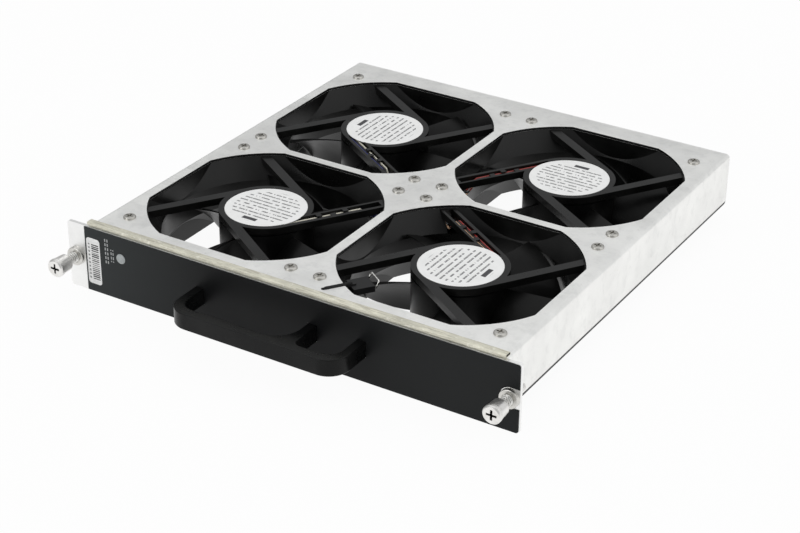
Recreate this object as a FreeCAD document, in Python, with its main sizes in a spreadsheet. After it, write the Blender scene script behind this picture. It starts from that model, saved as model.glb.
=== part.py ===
import FreeCAD, Part
import math
import operator
import os

import Sketcher

# Four-fan cooling tray with a face plate. Units mm, +Z up, face plate towards -Y,
# Z = 0 under the fans, origin in the middle of the base of the whole tray.

doc = FreeCAD.newDocument("fan_tray")
sheet = doc.addObject("Spreadsheet::Sheet", "dims")
V = FreeCAD.Vector

SIZES = {
    # face plate
    "panel_h": 38.9, "panel_t": 2.0, "panel_corner": 1.4,
    # folded tray, laid out round the fans
    "tray_margin": 6.2, "front_margin": 10.0, "rear_margin": 13.0, "tray_shift": 2.3,
    "sheet_t": 1.5, "wall_h": 31.0, "bend_in": 1.0, "flange_drop": 28.5,
    "corner_relief": 2.0, "wall_corner": 2.5,
    # fans, and the tray's openings over them
    "fan_size": 120.0, "fan_t": 38.0, "fan_gap_x": 2.8, "fan_gap_y": 2.0,
    "fan_corner": 6.0, "fan_flange_t": 5.0, "hole_inset": 7.5, "fan_hole_r": 2.15, "opening_gap": 0.5,
    "duct_inset": 2.5, "duct_wall": 2.3, "flare_out": 6.7, "flare_inset": 2.1, "flare_d": 12.0,
    "base_r": 26.0, "base_t": 4.0, "base_sink": 0.3, "strut_w": 5.6, "strut_past": 4.5, "strut_turn": 56.5,
    "channel_strut_w": 8.3, "channel_wall": 2.0, "channel_w": 4.8, "channel_depth": 2.2,
    "channel_from": 1.0, "channel_end": 6.0, "tab_from": 21.0, "tab_step": 7.8,
    "window_back": 19.5, "window_low": 25.5, "tab_len": 3.0, "tab_reach": 2.7, "tab_t": 0.8,
    "label_r": 22.7, "label_t": 0.2, "label_sink": 0.4,
    # impeller and motor
    "hub_r": 26.0, "hub_wall": 2.0, "hub_low": 3.0, "hub_gap": 1.0, "hub_chamfer": 1.5,
    "blade_tip_gap": 1.2, "blade_count": 5, "blade_mid_z": 16.8, "blade_edge": 0.8,
    "root_chord": 30.0, "root_pitch": 58.0, "root_camber": 2.8, "root_thick": 2.0,
    "mid_chord": 37.5, "mid_pitch": 46.0, "mid_camber": 4.8, "mid_thick": 1.7,
    "tip_chord": 48.5, "tip_pitch": 29.0, "tip_camber": 4.3, "tip_thick": 1.4,
    "rotor_turn_fl": 33.0, "rotor_turn_fr": 42.0, "rotor_turn_br": 57.0, "rotor_turn_bl": 69.0,
    "shaft_r": 1.5, "fit": 0.02, "boss_r": 4.0, "boss_h": 4.5,
    "yoke_wall": 1.6, "yoke_end": 1.0, "yoke_h": 22.0, "magnet_wall": 1.9, "magnet_h": 20.0,
    "air_gap": 0.6, "tube_r": 7.0, "bearing_r": 4.0, "bearing_h": 4.0, "tube_low": 9.7, "upper_bearing": 28.0,
    "core_low": 13.0, "core_h": 12.0, "core_ring": 3.0, "pole_w": 5.0, "shoe_t": 2.2, "shoe_w": 15.0,
    "coil_t": 2.2, "coil_gap": 0.3, "motor_board_r": 23.5, "motor_board_t": 1.2,
    # fan screws and nuts
    "screw_r": 2.0, "screw_head_r": 3.5, "screw_head_h": 1.2, "screw_hole_r": 2.3, "screw_below": 11.0,
    "recess_w": 1.0, "recess_len": 4.0, "recess_depth": 0.8, "nut_flat": 7.0, "nut_h": 3.2,
    # gasket, overlay, label
    "gasket_w": 4.6, "gasket_h": 2.1, "gasket_skin": 0.5, "gasket_inset": 0.0, "gasket_round": 1.3,
    "gasket_front": 1.7,
    "overlay_t": 0.4, "overlay_left": 11.7, "overlay_edge": 0.3, "overlay_top": 1.4, "overlay_clear": 0.4,
    "leg_clear": 0.15,
    "tag_w": 9.0, "tag_h": 27.6, "tag_inset": 5.6, "tag_z": 18.9, "tag_t": 0.2, "tag_corner": 1.8,
    # handle
    "handle_reach": 27.0, "handle_inset": 85.2, "handle_w": 105.0, "handle_h": 9.4, "handle_z": 14.6,
    "bar_t": 6.0, "leg_w": 5.2, "short_loop": 24.0, "handle_round": 12.0, "loop_round": 8.0,
    "long_loop_round": 14.0, "short_loop_round": 4.0, "handle_edge": 0.5,
    "grip_screw_r": 1.5, "grip_screw_depth": 11.0, "grip_head_r": 2.8, "grip_head_h": 2.0, "screw_clear": 0.2,
    # rivets between face plate and tray
    "rivet_r": 1.6, "rivet_head_r": 3.0, "rivet_head_h": 0.8, "rivet_inset": 37.0, "rivet_pitch_z": 16.0,
    "rivet_z": 22.0,
    # captive screws, placed by the tray's right wall
    "captive_out": 3.4, "captive_edge": 5.4, "captive_z": 19.2, "ferrule_r": 5.3, "ferrule_t": 2.5,
    "lip_gap": 0.3, "lip_step": 0.3, "ferrule_lip": 1.5, "ferrule_bore": 1.8, "spring_seat": 0.4,
    "spring_seat_r": 3.5, "travel": 5.5, "stop_gap": 0.1, "knob_r": 5.2, "knob_len": 10.8,
    "knob_chamfer": 1.2, "knob_cup": 4.5, "knob_cup_r": 3.6,
    "thread_r": 2.1, "thread_len": 9.0, "neck_r": 1.6,
    "spring_r": 2.75, "spring_wire": 0.3, "spring_pitch": 1.5,
    "knob_recess_w": 1.2, "knob_recess_len": 5.2, "knob_recess_depth": 2.2,
    # indicator
    "led_inset": 36.0, "led_z": 25.7, "led_r": 2.9, "led_proud": 0.9, "led_len": 7.6, "led_hole_r": 3.25,
    "led_rim_r": 4.6, "led_rim_t": 2.0, "led_wall_hole_r": 5.0, "led_pin_pitch": 2.54,
    # rear connector and board
    "plug_reach": 7.5, "plug_w": 38.0, "plug_h": 13.0, "plug_wall": 1.6, "plug_z": 23.0, "plug_cut": 0.3,
    "pin_w": 1.2, "pin_pitch": 4.4, "pin_short": 1.5, "pocket_depth": 7.0,
    "board_w": 76.0, "board_h": 22.0, "board_t": 1.6, "standoff_len": 5.0, "standoff_r": 2.6,
    "standoff_pitch": 62.0, "board_screw_r": 1.25, "board_head_r": 2.4, "board_head_h": 1.6,
    "board_screw_len": 4.5,
    "header_w": 6.0, "header_h": 19.0, "header_d": 3.6, "header_z": 24.2,
    # leads
    "wire_r": 0.5, "wire_step": 1.4, "wire_side": 1.25, "wire_top": 31.5,
    "wire_column": 0.66, "wire_bend": 1.0,
    "signal_z": 20.0, "signal_y": 7.6, "signal_run": 30.0,
    # sensor and its cable
    "sensor_turn": 234.5, "holder_in": 7.5, "holder_out": 4.0, "holder_w": 11.0, "holder_t": 3.4,
    "holder_proud": 0.6, "neck_out": 3.3, "slot_w": 2.6, "slot_out": 12.5,
    "loop_gap": 0.5, "loop_reach": 1.8, "loop_rise": 3.8, "loop_w": 10.2, "loop_r": 0.45,
    "cable_r": 1.0, "cable_bend": 1.3, "cable_gap": 0.3,
}


class Size:
    """A number together with the sheet formula that it comes from."""

    def __init__(self, value, text):
        self.value = float(value)
        self.text = text

    def __add__(self, other):
        return joined(self, "+", other)

    def __radd__(self, other):
        return joined(other, "+", self)

    def __sub__(self, other):
        return joined(self, "-", other)

    def __rsub__(self, other):
        return joined(other, "-", self)

    def __mul__(self, other):
        return joined(self, "*", other)

    def __rmul__(self, other):
        return joined(other, "*", self)

    def __truediv__(self, other):
        return joined(self, "/", other)

    def __neg__(self):
        return joined(0.0, "-", self)


SIGNS = {"+": operator.add, "-": operator.sub, "*": operator.mul, "/": operator.truediv}


def size(thing):
    return thing if isinstance(thing, Size) else Size(thing, repr(float(thing)))


def joined(one, sign, two):
    one, two = size(one), size(two)
    return Size(SIGNS[sign](one.value, two.value), "(%s %s %s)" % (one.text, sign, two.text))


def root(thing):
    return Size(math.sqrt(thing.value), "sqrt(%s)" % thing.text)


class Dims:
    """The sheet's sizes by name."""


d = Dims()
for row, (name, number) in enumerate(SIZES.items(), 1):
    sheet.set("A%d" % row, name)
    sheet.set("B%d" % row, str(number))
    sheet.setAlias("B%d" % row, name)
    setattr(d, name, Size(number, "dims." + name))
doc.recompute()

# Sizes that follow from the fans
d.fan_pitch_x = d.fan_size + d.fan_gap_x
d.fan_pitch_y = d.fan_size + d.fan_gap_y
d.fan_hole_pitch = d.fan_size - d.hole_inset * 2
d.fan_row = d.front_margin + d.fan_size / 2
d.duct_r = d.fan_size / 2 - d.duct_inset
d.flare_r = d.duct_r + d.flare_out
d.flare_half = d.fan_size / 2 - d.flare_inset
d.opening_r = d.flare_r + d.opening_gap
d.opening_half = d.flare_half + d.opening_gap
d.strut_len = d.fan_size / 2 + d.strut_past
d.channel_len = d.strut_len - d.channel_end
d.window_from = d.strut_len - d.window_back
d.holder_from = d.duct_r - d.holder_in
d.holder_to = d.duct_r + d.holder_out
d.neck_to = d.opening_r + d.neck_out
d.slot_end = d.opening_r + d.slot_out

# Sizes of the tray and the face plate that follow from those
d.tray_w = d.fan_pitch_x + d.fan_size + d.tray_margin * 2
d.tray_d = d.front_margin + d.fan_pitch_y + d.fan_size + d.rear_margin
d.gasket_len = d.tray_w - d.gasket_inset * 2
d.rivet_pitch_x = d.tray_w - d.rivet_inset * 2
d.captive_x = d.tray_w / 2 + d.tray_shift + d.captive_out
d.ferrule_lip_r = d.captive_out - d.lip_gap
d.ferrule_barrel = d.ferrule_lip_r - d.lip_step
d.panel_w = (d.captive_x + d.captive_edge) * 2
d.led_x = d.led_inset - d.panel_w / 2
d.handle_x = d.handle_inset - d.panel_w / 2
d.tag_x = d.overlay_left + d.tag_inset - d.panel_w / 2

# Places that several pieces share
TOP_Z = d.fan_t + d.sheet_t
WALL_LOW = TOP_Z - d.wall_h
PANEL_Y = (d.handle_reach - d.panel_t - d.tray_d - d.plug_reach) / 2
TRAY_Y = PANEL_Y + d.panel_t
FANS = {
    "fl": (-1, -1, 0), "fr": (1, -1, 90), "br": (1, 1, 180), "bl": (-1, 1, 270),
}
LEG_MIDS = (
    d.handle_x + d.leg_w / 2,
    d.handle_x + d.handle_w - d.leg_w * 1.5 - d.short_loop,
    d.handle_x + d.handle_w - d.leg_w / 2,
)
GRIP_Z = d.handle_z + d.handle_h / 2
HUB_TOP = d.fan_t - d.base_sink - d.base_t - d.hub_gap
BASE_LOW = d.fan_t - d.base_sink - d.base_t
LANE = d.base_r - d.channel_wall - d.channel_w / 2
BOARD_FACE = d.tray_d - d.sheet_t - d.standoff_len - d.board_t


# Ways to draw and build

def tie(item, path, value):
    """Give a property a plain number, or the sheet formula of a Size."""
    if isinstance(value, Size):
        item.setExpression(path, value.text)
    elif "." in path:
        item.setExpression(path, repr(float(value)))
    else:
        setattr(item, path, value)


def new_body(label):
    item = doc.addObject("PartDesign::Body", label)
    item.Label = label
    item.AllowCompound = True
    return item


def origin(body, role):
    return next(f for f in body.Origin.OriginFeatures if f.Role == role)


def sketch(body, role="XY_Plane", lift=None, at=None, turn=None):
    """An empty sketch on one of the body's planes, lifted, moved and turned in that plane."""
    item = body.newObject("Sketcher::SketchObject", "outline")
    item.AttachmentSupport = [(origin(body, role), "")]
    item.MapMode = "FlatFace"
    if lift is not None:
        tie(item, "AttachmentOffset.Base.z", lift)
    if at is not None:
        tie(item, "AttachmentOffset.Base.x", at[0])
        tie(item, "AttachmentOffset.Base.y", at[1])
    if turn is not None:
        tie(item, "AttachmentOffset.Rotation.Angle", turn)
    return item


def tie_point(rules, geometry, end, x, y):
    """Hold one end of a curve at a place given by the sheet."""
    for kind, axis, value in (("DistanceX", -2, x), ("DistanceY", -1, y)):
        if abs(value.value) < 1e-9:
            rules.append((Sketcher.Constraint("PointOnObject", geometry, end, axis), None))
        else:
            rules.append((Sketcher.Constraint(kind, -1, 1, geometry, end, value.value), value))


def add_rules(item, rules):
    start = item.ConstraintCount
    item.addConstraint([rule for rule, _ in rules])
    for i, (_, value) in enumerate(rules):
        if value is not None:
            item.setExpression("Constraints[%d]" % (start + i), value.text)


def draw(item, points, arcs):
    """A closed line through points; arcs gives (radius, centre) for the curved stretches."""
    first = item.GeometryCount
    count = len(points)
    ends = []
    for i, (x, y) in enumerate(points):
        a = V(x.value, y.value, 0)
        b = V(points[(i + 1) % count][0].value, points[(i + 1) % count][1].value, 0)
        if i not in arcs:
            item.addGeometry(Part.LineSegment(a, b))
            ends.append((1, 2))
            continue
        radius, centre = arcs[i]
        mid = V(centre[0], centre[1], 0)
        circle = Part.Circle(mid, V(0, 0, 1), radius.value)
        start = math.atan2(a.y - mid.y, a.x - mid.x)
        stop = math.atan2(b.y - mid.y, b.x - mid.x)
        if (stop - start) % (2 * math.pi) < math.pi:
            item.addGeometry(Part.ArcOfCircle(circle, start, stop))
            ends.append((1, 2))
        else:
            item.addGeometry(Part.ArcOfCircle(circle, stop, start))
            ends.append((2, 1))
    rules = []
    for i, (x, y) in enumerate(points):
        after = (i + 1) % count
        join = Sketcher.Constraint("Coincident", first + i, ends[i][1], first + after, ends[after][0])
        rules.append((join, None))
        tie_point(rules, first + i, ends[i][0], x, y)
        if i in arcs:
            rules.append((Sketcher.Constraint("Radius", first + i, arcs[i][0].value), arcs[i][0]))
    add_rules(item, rules)
    return item


def heading(gap):
    return 0 if abs(gap) < 1e-9 else math.copysign(1, gap)


def step(start, length, way):
    return start if not way else start + length * way


def outline(item, *corners):
    """A closed outline through corners (x, y) or (x, y, r); corners with a radius are square ones."""
    spots = [tuple(size(v) for v in corner) for corner in corners]
    points, arcs = [], {}
    for i, spot in enumerate(spots):
        x, y = spot[:2]
        if len(spot) == 2:
            points.append((x, y))
            continue
        before, after = spots[i - 1], spots[(i + 1) % len(spots)]
        ins = [heading(before[k].value - spot[k].value) for k in (0, 1)]
        outs = [heading(after[k].value - spot[k].value) for k in (0, 1)]
        r = spot[2]
        centre = (x.value + r.value * (ins[0] + outs[0]), y.value + r.value * (ins[1] + outs[1]))
        arcs[len(points)] = (r, centre)
        points.append((step(x, r, ins[0]), step(y, r, ins[1])))
        points.append((step(x, r, outs[0]), step(y, r, outs[1])))
    return draw(item, points, arcs)


def box(item, x0, x1, y0, y1, r=None):
    corners = ((x0, y0), (x1, y0), (x1, y1), (x0, y1))
    return outline(item, *(c if r is None else c + (r,) for c in corners))


def circle(item, x, y, r):
    x, y, r = size(x), size(y), size(r)
    i = item.addGeometry(Part.Circle(V(x.value, y.value, 0), V(0, 0, 1), r.value))
    rules = []
    tie_point(rules, i, 3, x, y)
    rules.append((Sketcher.Constraint("Radius", i, r.value), r))
    add_rules(item, rules)
    return item


def clipped_circle(item, x, y, r, half):
    """A circle with its four sides cut flat, the shape of a fan's air opening."""
    x, y = size(x), size(y)
    q = root(r * r - half * half)
    spots = ((half, -q), (half, q), (q, half), (-q, half), (-half, q), (-half, -q), (-q, -half), (q, -half))
    points = [(x + a, y + b) for a, b in spots]
    return draw(item, points, {i: (r, (x.value, y.value)) for i in (1, 3, 5, 7)})


def build(body, kind, profile, **sizes):
    item = body.newObject("PartDesign::" + kind, kind.lower())
    item.Profile = profile
    if kind in ("Revolution", "Groove"):
        item.ReferenceAxis = (profile, ["V_Axis"])
        item.Angle = 360.0
    for path, value in sizes.items():
        tie(item, path, value)
    profile.Visibility = False
    return item


def turned(body, *points, at=None, kind="Revolution"):
    """A solid turned about Z, or a line beside it, from a profile of (radius, height) points."""
    if at is None:
        profile = sketch(body, "XZ_Plane")
    else:
        profile = sketch(body, "XZ_Plane", lift=-at[1], at=(at[0], 0.0))
    return build(body, kind, outline(profile, *points))


def cross(item, width, length):
    """The outline of a cross recess."""
    a, b = width / 2, length / 2
    return outline(item, (a, a), (a, b), (-a, b), (-a, a), (-b, a), (-b, -a),
                   (-a, -a), (-a, -b), (a, -b), (a, -a), (b, -a), (b, a))


def soften(body, radius, wanted):
    """Round the edges of the body's shape that a test picks."""
    doc.recompute()
    base = body.Tip
    edges = ["Edge%d" % i for i, edge in enumerate(base.Shape.Edges, 1) if wanted(edge)]
    item = body.newObject("PartDesign::Fillet", "fillet")
    item.Base = (base, edges)
    tie(item, "Radius", radius)
    body.Tip = item
    return item


def around(body, features, count):
    """Repeat features round the body's Z axis."""
    item = body.newObject("PartDesign::PolarPattern", "around")
    item.Originals = features
    item.Axis = (origin(body, "Z_Axis"), [""])
    item.Angle = 360.0
    tie(item, "Occurrences", count)
    body.Tip = item
    return item


def group(label, master, places):
    """One node of several like solids: a master body repeated at places (x, y, z)."""
    links = []
    for x, y, z in places:
        link = doc.addObject("App::Link", label + "_one")
        link.LinkedObject = master
        for name, value in zip("xyz", (x, y, z)):
            tie(link, "Placement.Base." + name, value)
        links.append(link)
    item = doc.addObject("Part::Compound", label)
    item.Label = label
    item.Links = links
    PIECES.append(item)


def place(item, x=0.0, y=0.0, z=0.0, axis=None, turn=0.0):
    if axis is not None:
        item.Placement = FreeCAD.Placement(V(0, 0, 0), FreeCAD.Rotation(axis, 1.0))
        tie(item, "Placement.Rotation.Angle", turn)
    for name, value in zip("xyz", (x, y, z)):
        tie(item, "Placement.Base." + name, value)
    PIECES.append(item)


def fan_centre(key):
    """A fan's middle in the tray's own frame, its origin at the middle of the tray's front edge."""
    side, row, _ = FANS[key]
    return d.fan_pitch_x / 2 * side, d.fan_row + d.fan_pitch_y * (row + 1) / 2


PIECES = []
FLIP = V(1, 0, 0)
UP = V(0, 0, 1)


# Tray, face plate and what is fixed to them

def make_tray():
    body = new_body("tray_shell")
    half, inner, under = d.tray_w / 2, d.tray_w / 2 - d.sheet_t, d.fan_t
    bend_out = d.bend_in + d.sheet_t
    folded = outline(
        sketch(body, "XZ_Plane"),
        (-half, WALL_LOW), (-half, TOP_Z, bend_out), (half, TOP_Z, bend_out), (half, WALL_LOW),
        (inner, WALL_LOW), (inner, under, d.bend_in), (-inner, under, d.bend_in), (-inner, WALL_LOW),
    )
    build(body, "Pad", folded, Length=d.tray_d, Reversed=True)
    reach = inner - d.corner_relief
    high = TOP_Z - d.sheet_t / 2
    for start in (size(0.0), d.tray_d - d.sheet_t):
        flange = box(sketch(body, "XZ_Plane", lift=-start), -reach, reach, high - d.flange_drop, high)
        build(body, "Pad", flange, Length=d.sheet_t, Reversed=True)
    holes = sketch(body, lift=TOP_Z)
    for key in FANS:
        x, y = fan_centre(key)
        clipped_circle(holes, x, y, d.opening_r, d.opening_half)
        for a, b in ((1, 1), (1, -1), (-1, 1), (-1, -1)):
            circle(holes, x + d.fan_hole_pitch / 2 * a, y + d.fan_hole_pitch / 2 * b, d.screw_hole_r)
    build(body, "Pocket", holes, Length=d.sheet_t * 1.2)
    slot = sketch(body, lift=TOP_Z, at=fan_centre("fr"), turn=d.sensor_turn)
    w, r = d.slot_w / 2, d.slot_w / 2 - 0.05
    outline(slot, (d.opening_r - 3, -w), (d.slot_end, -w, r), (d.slot_end, w, r), (d.opening_r - 3, w))
    build(body, "Pocket", slot, Length=d.sheet_t * 1.2)
    front = sketch(body, "XZ_Plane")
    for x in LEG_MIDS:
        circle(front, x - d.tray_shift, GRIP_Z, d.grip_screw_r + d.screw_clear)
    for x, z in rivet_places():
        circle(front, x, z, d.rivet_r + d.fit)
    circle(front, d.led_x - d.tray_shift, d.led_z, d.led_wall_hole_r)
    build(body, "Pocket", front, Length=d.sheet_t * 1.2)
    back = sketch(body, "XZ_Plane", lift=d.sheet_t - d.tray_d)
    w, h = d.plug_w / 2 + d.plug_cut, d.plug_h / 2 + d.plug_cut
    box(back, -w, w, d.plug_z - h, d.plug_z + h)
    for side in (-1, 1):
        circle(back, d.standoff_pitch / 2 * side, d.plug_z, d.standoff_r - 0.5 + d.fit)
    build(body, "Pocket", back, Length=d.sheet_t * 1.2)

    def rear_wall_corner(edge):
        ends = [v.Point for v in edge.Vertexes]
        return all(abs(p.z - WALL_LOW.value) < 0.01 and p.y > d.tray_d.value - 0.01 for p in ends)

    soften(body, d.wall_corner, rear_wall_corner)
    place(body, d.tray_shift, TRAY_Y)


def rivet_places():
    return [
        (d.rivet_pitch_x / 2 * a, d.rivet_z + d.rivet_pitch_z / 2 * b)
        for a in (-1, 1) for b in (-1, 1)
    ]


def make_panel():
    body = new_body("front_panel")
    half = d.panel_w / 2
    build(body, "Pad", box(sketch(body, "XZ_Plane"), -half, half, 0.0, d.panel_h, d.panel_corner),
          Length=d.panel_t, Reversed=True)
    holes = sketch(body, "XZ_Plane")
    for side in (-1, 1):
        circle(holes, d.captive_x * side, d.captive_z, d.ferrule_barrel + d.fit)
    circle(holes, d.led_x, d.led_z, d.led_hole_r)
    for x in LEG_MIDS:
        circle(holes, x, GRIP_Z, d.grip_screw_r + d.screw_clear)
    for x, z in rivet_places():
        circle(holes, x + d.tray_shift, z, d.rivet_r + d.fit)
    build(body, "Pocket", holes, Length=d.panel_t * 1.2)
    sinks = sketch(body, "XZ_Plane")
    for x, z in rivet_places():
        circle(sinks, x + d.tray_shift, z, d.rivet_head_r + d.fit)
    build(body, "Pocket", sinks, Length=d.rivet_head_h)
    place(body, 0.0, PANEL_Y)

    rivets = new_body("panel_rivets")
    back = -d.panel_t - d.sheet_t
    for x, z in rivet_places():
        turned(
            rivets,
            (0.0, back - d.rivet_head_h), (d.rivet_head_r, back - d.rivet_head_h), (d.rivet_head_r, back),
            (d.rivet_r, back), (d.rivet_r, -d.rivet_head_h), (d.rivet_head_r, -d.rivet_head_h),
            (d.rivet_head_r, 0.0), (0.0, 0.0), at=(x, z),
        )
    place(rivets, d.tray_shift, PANEL_Y, 0.0, FLIP, 90.0)


def make_overlay():
    body = new_body("panel_overlay")
    left, right = d.overlay_left - d.panel_w / 2, d.panel_w / 2 - d.overlay_edge
    low, high = d.overlay_edge, d.panel_h - d.overlay_top
    ring = d.ferrule_r + d.overlay_clear
    film = sketch(body, "XZ_Plane")
    outline(
        film, (left, low), (right, low, d.panel_corner), (right, d.captive_z - ring),
        (d.captive_x - ring, d.captive_z - ring, ring - 0.1),
        (d.captive_x - ring, d.captive_z + ring, ring - 0.1),
        (right, d.captive_z + ring), (right, high, d.panel_corner), (left, high),
    )
    for x in LEG_MIDS:
        w, gap = d.leg_w / 2 + d.leg_clear, d.leg_clear
        box(film, x - w, x + w, d.handle_z - gap, d.handle_z + d.handle_h + gap, d.handle_edge + gap)
    circle(film, d.led_x, d.led_z, d.led_hole_r)
    build(body, "Pad", film, Length=d.overlay_t)
    place(body, 0.0, PANEL_Y)

    tag = new_body("asset_label")
    w, h = d.tag_w / 2, d.tag_h / 2
    face = sketch(tag, "XZ_Plane")
    box(face, d.tag_x - w, d.tag_x + w, d.tag_z - h, d.tag_z + h, d.tag_corner)
    build(tag, "Pad", face, Length=d.tag_t)
    place(tag, 0.0, PANEL_Y - d.overlay_t)


def make_gasket():
    body = new_body("emi_gasket")
    section = sketch(body, "YZ_Plane", lift=-d.gasket_len / 2)
    s, r = d.gasket_skin, d.gasket_round
    outline(section, (0.0, 0.0), (d.gasket_w, 0.0), (d.gasket_w, d.gasket_h, r), (0.0, d.gasket_h, r))
    outline(section, (s, s), (d.gasket_w - s, s), (d.gasket_w - s, d.gasket_h - s, r - s * 1.5),
            (s, d.gasket_h - s, r - s * 1.5))
    build(body, "Pad", section, Length=d.gasket_len)
    place(body, d.tray_shift, TRAY_Y - d.gasket_front, TOP_Z)


def make_handle():
    body = new_body("handle")
    x0, x1 = d.handle_x, d.handle_x + d.handle_w
    front, inner = -d.handle_reach, d.bar_t - d.handle_reach
    right_in = x1 - d.leg_w
    middle_out = right_in - d.short_loop
    middle_in = middle_out - d.leg_w
    plan = outline(
        sketch(body, lift=d.handle_z),
        (x0, 0.0), (x0, front, d.handle_round), (x1, front, d.handle_round), (x1, 0.0),
        (right_in, 0.0), (right_in, inner, d.loop_round), (middle_out, inner, d.short_loop_round),
        (middle_out, 0.0), (middle_in, 0.0), (middle_in, inner, d.long_loop_round),
        (x0 + d.leg_w, inner, d.loop_round), (x0 + d.leg_w, 0.0),
    )
    build(body, "Pad", plan, Length=d.handle_h)
    bores = sketch(body, "XZ_Plane")
    for x in LEG_MIDS:
        circle(bores, x, GRIP_Z, d.grip_screw_r + d.fit)
    build(body, "Pocket", bores, Length=d.grip_screw_depth, Reversed=True)
    levels = (d.handle_z.value, d.handle_z.value + d.handle_h.value)

    def rim(edge):
        box_ = edge.BoundBox
        flat = any(abs(box_.ZMin - z) < 0.01 and abs(box_.ZMax - z) < 0.01 for z in levels)
        return flat and box_.YMin < -0.01

    soften(body, d.handle_edge, rim)
    place(body, 0.0, PANEL_Y)

    screws = new_body("handle_screws")
    seat, tip = -d.panel_t - d.sheet_t, d.grip_screw_depth - 0.5
    for x in LEG_MIDS:
        turned(
            screws,
            (0.0, seat - d.grip_head_h), (d.grip_head_r, seat - d.grip_head_h, d.grip_head_h * 0.6),
            (d.grip_head_r, seat), (d.grip_screw_r, seat), (d.grip_screw_r, tip), (0.0, tip), at=(x, GRIP_Z),
        )
    place(screws, 0.0, PANEL_Y, 0.0, FLIP, 90.0)


def make_captive_screw(name, side):
    """A ferrule, a spring and a knob with its screw, drawn along Z from the face plate outwards."""
    where = (d.captive_x * side, PANEL_Y, d.captive_z, FLIP, 90.0)
    ferrule = new_body(name + "_ferrule")
    back = -d.panel_t - d.ferrule_lip
    seat = d.ferrule_t - d.spring_seat
    turned(
        ferrule,
        (d.ferrule_bore, back), (d.ferrule_lip_r, back), (d.ferrule_lip_r, -d.panel_t),
        (d.ferrule_barrel, -d.panel_t), (d.ferrule_barrel, 0.0), (d.ferrule_r, 0.0),
        (d.ferrule_r, d.ferrule_t, 0.5), (d.spring_seat_r, d.ferrule_t), (d.spring_seat_r, seat),
        (d.ferrule_bore, seat),
    )
    place(ferrule, *where)

    screw = new_body(name + "_captive_screw")
    stop = back - d.stop_gap
    end = stop - d.thread_len
    knob = d.ferrule_t + d.travel + d.stop_gap
    cup, face, c = knob + d.knob_cup, knob + d.knob_len, d.knob_chamfer
    turned(
        screw,
        (0.0, end), (d.thread_r - 0.5, end), (d.thread_r, end + 0.8), (d.thread_r, stop),
        (d.neck_r, stop), (d.neck_r, cup), (d.knob_cup_r, cup), (d.knob_cup_r, knob),
        (d.knob_r - 0.4, knob), (d.knob_r, knob + 0.4), (d.knob_r, face - c),
        (d.knob_r - c, face), (0.0, face),
    )
    recess = cross(sketch(screw, lift=face), d.knob_recess_w, d.knob_recess_len)
    build(screw, "Pocket", recess, Length=d.knob_recess_depth)
    place(screw, *where)

    spring = new_body(name + "_spring")
    coil = circle(sketch(spring, "XZ_Plane"), d.spring_r, seat + d.spring_wire, d.spring_wire)
    helix = build(spring, "AdditiveHelix", coil)
    helix.ReferenceAxis = (coil, ["V_Axis"])
    helix.Mode = 0
    tie(helix, "Pitch", d.spring_pitch)
    tie(helix, "Height", cup - seat - d.spring_wire * 2)
    place(spring, *where)


def make_indicator():
    lamp = new_body("status_led")
    turned(lamp, (0.0, d.led_proud - d.led_len), (d.led_r, d.led_proud - d.led_len),
           (d.led_r, d.led_proud, d.led_r - 0.2), (0.0, d.led_proud))
    place(lamp, d.led_x, PANEL_Y, d.led_z, FLIP, 90.0)
    holder = new_body("led_holder")
    inner, outer, rim = d.led_r + d.fit, d.led_hole_r - d.fit, -d.panel_t - d.led_rim_t
    turned(holder, (inner, rim), (d.led_rim_r, rim), (d.led_rim_r, -d.panel_t), (outer, -d.panel_t),
           (outer, 0.0), (inner, 0.0))
    place(holder, d.led_x, PANEL_Y, d.led_z, FLIP, 90.0)


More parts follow.
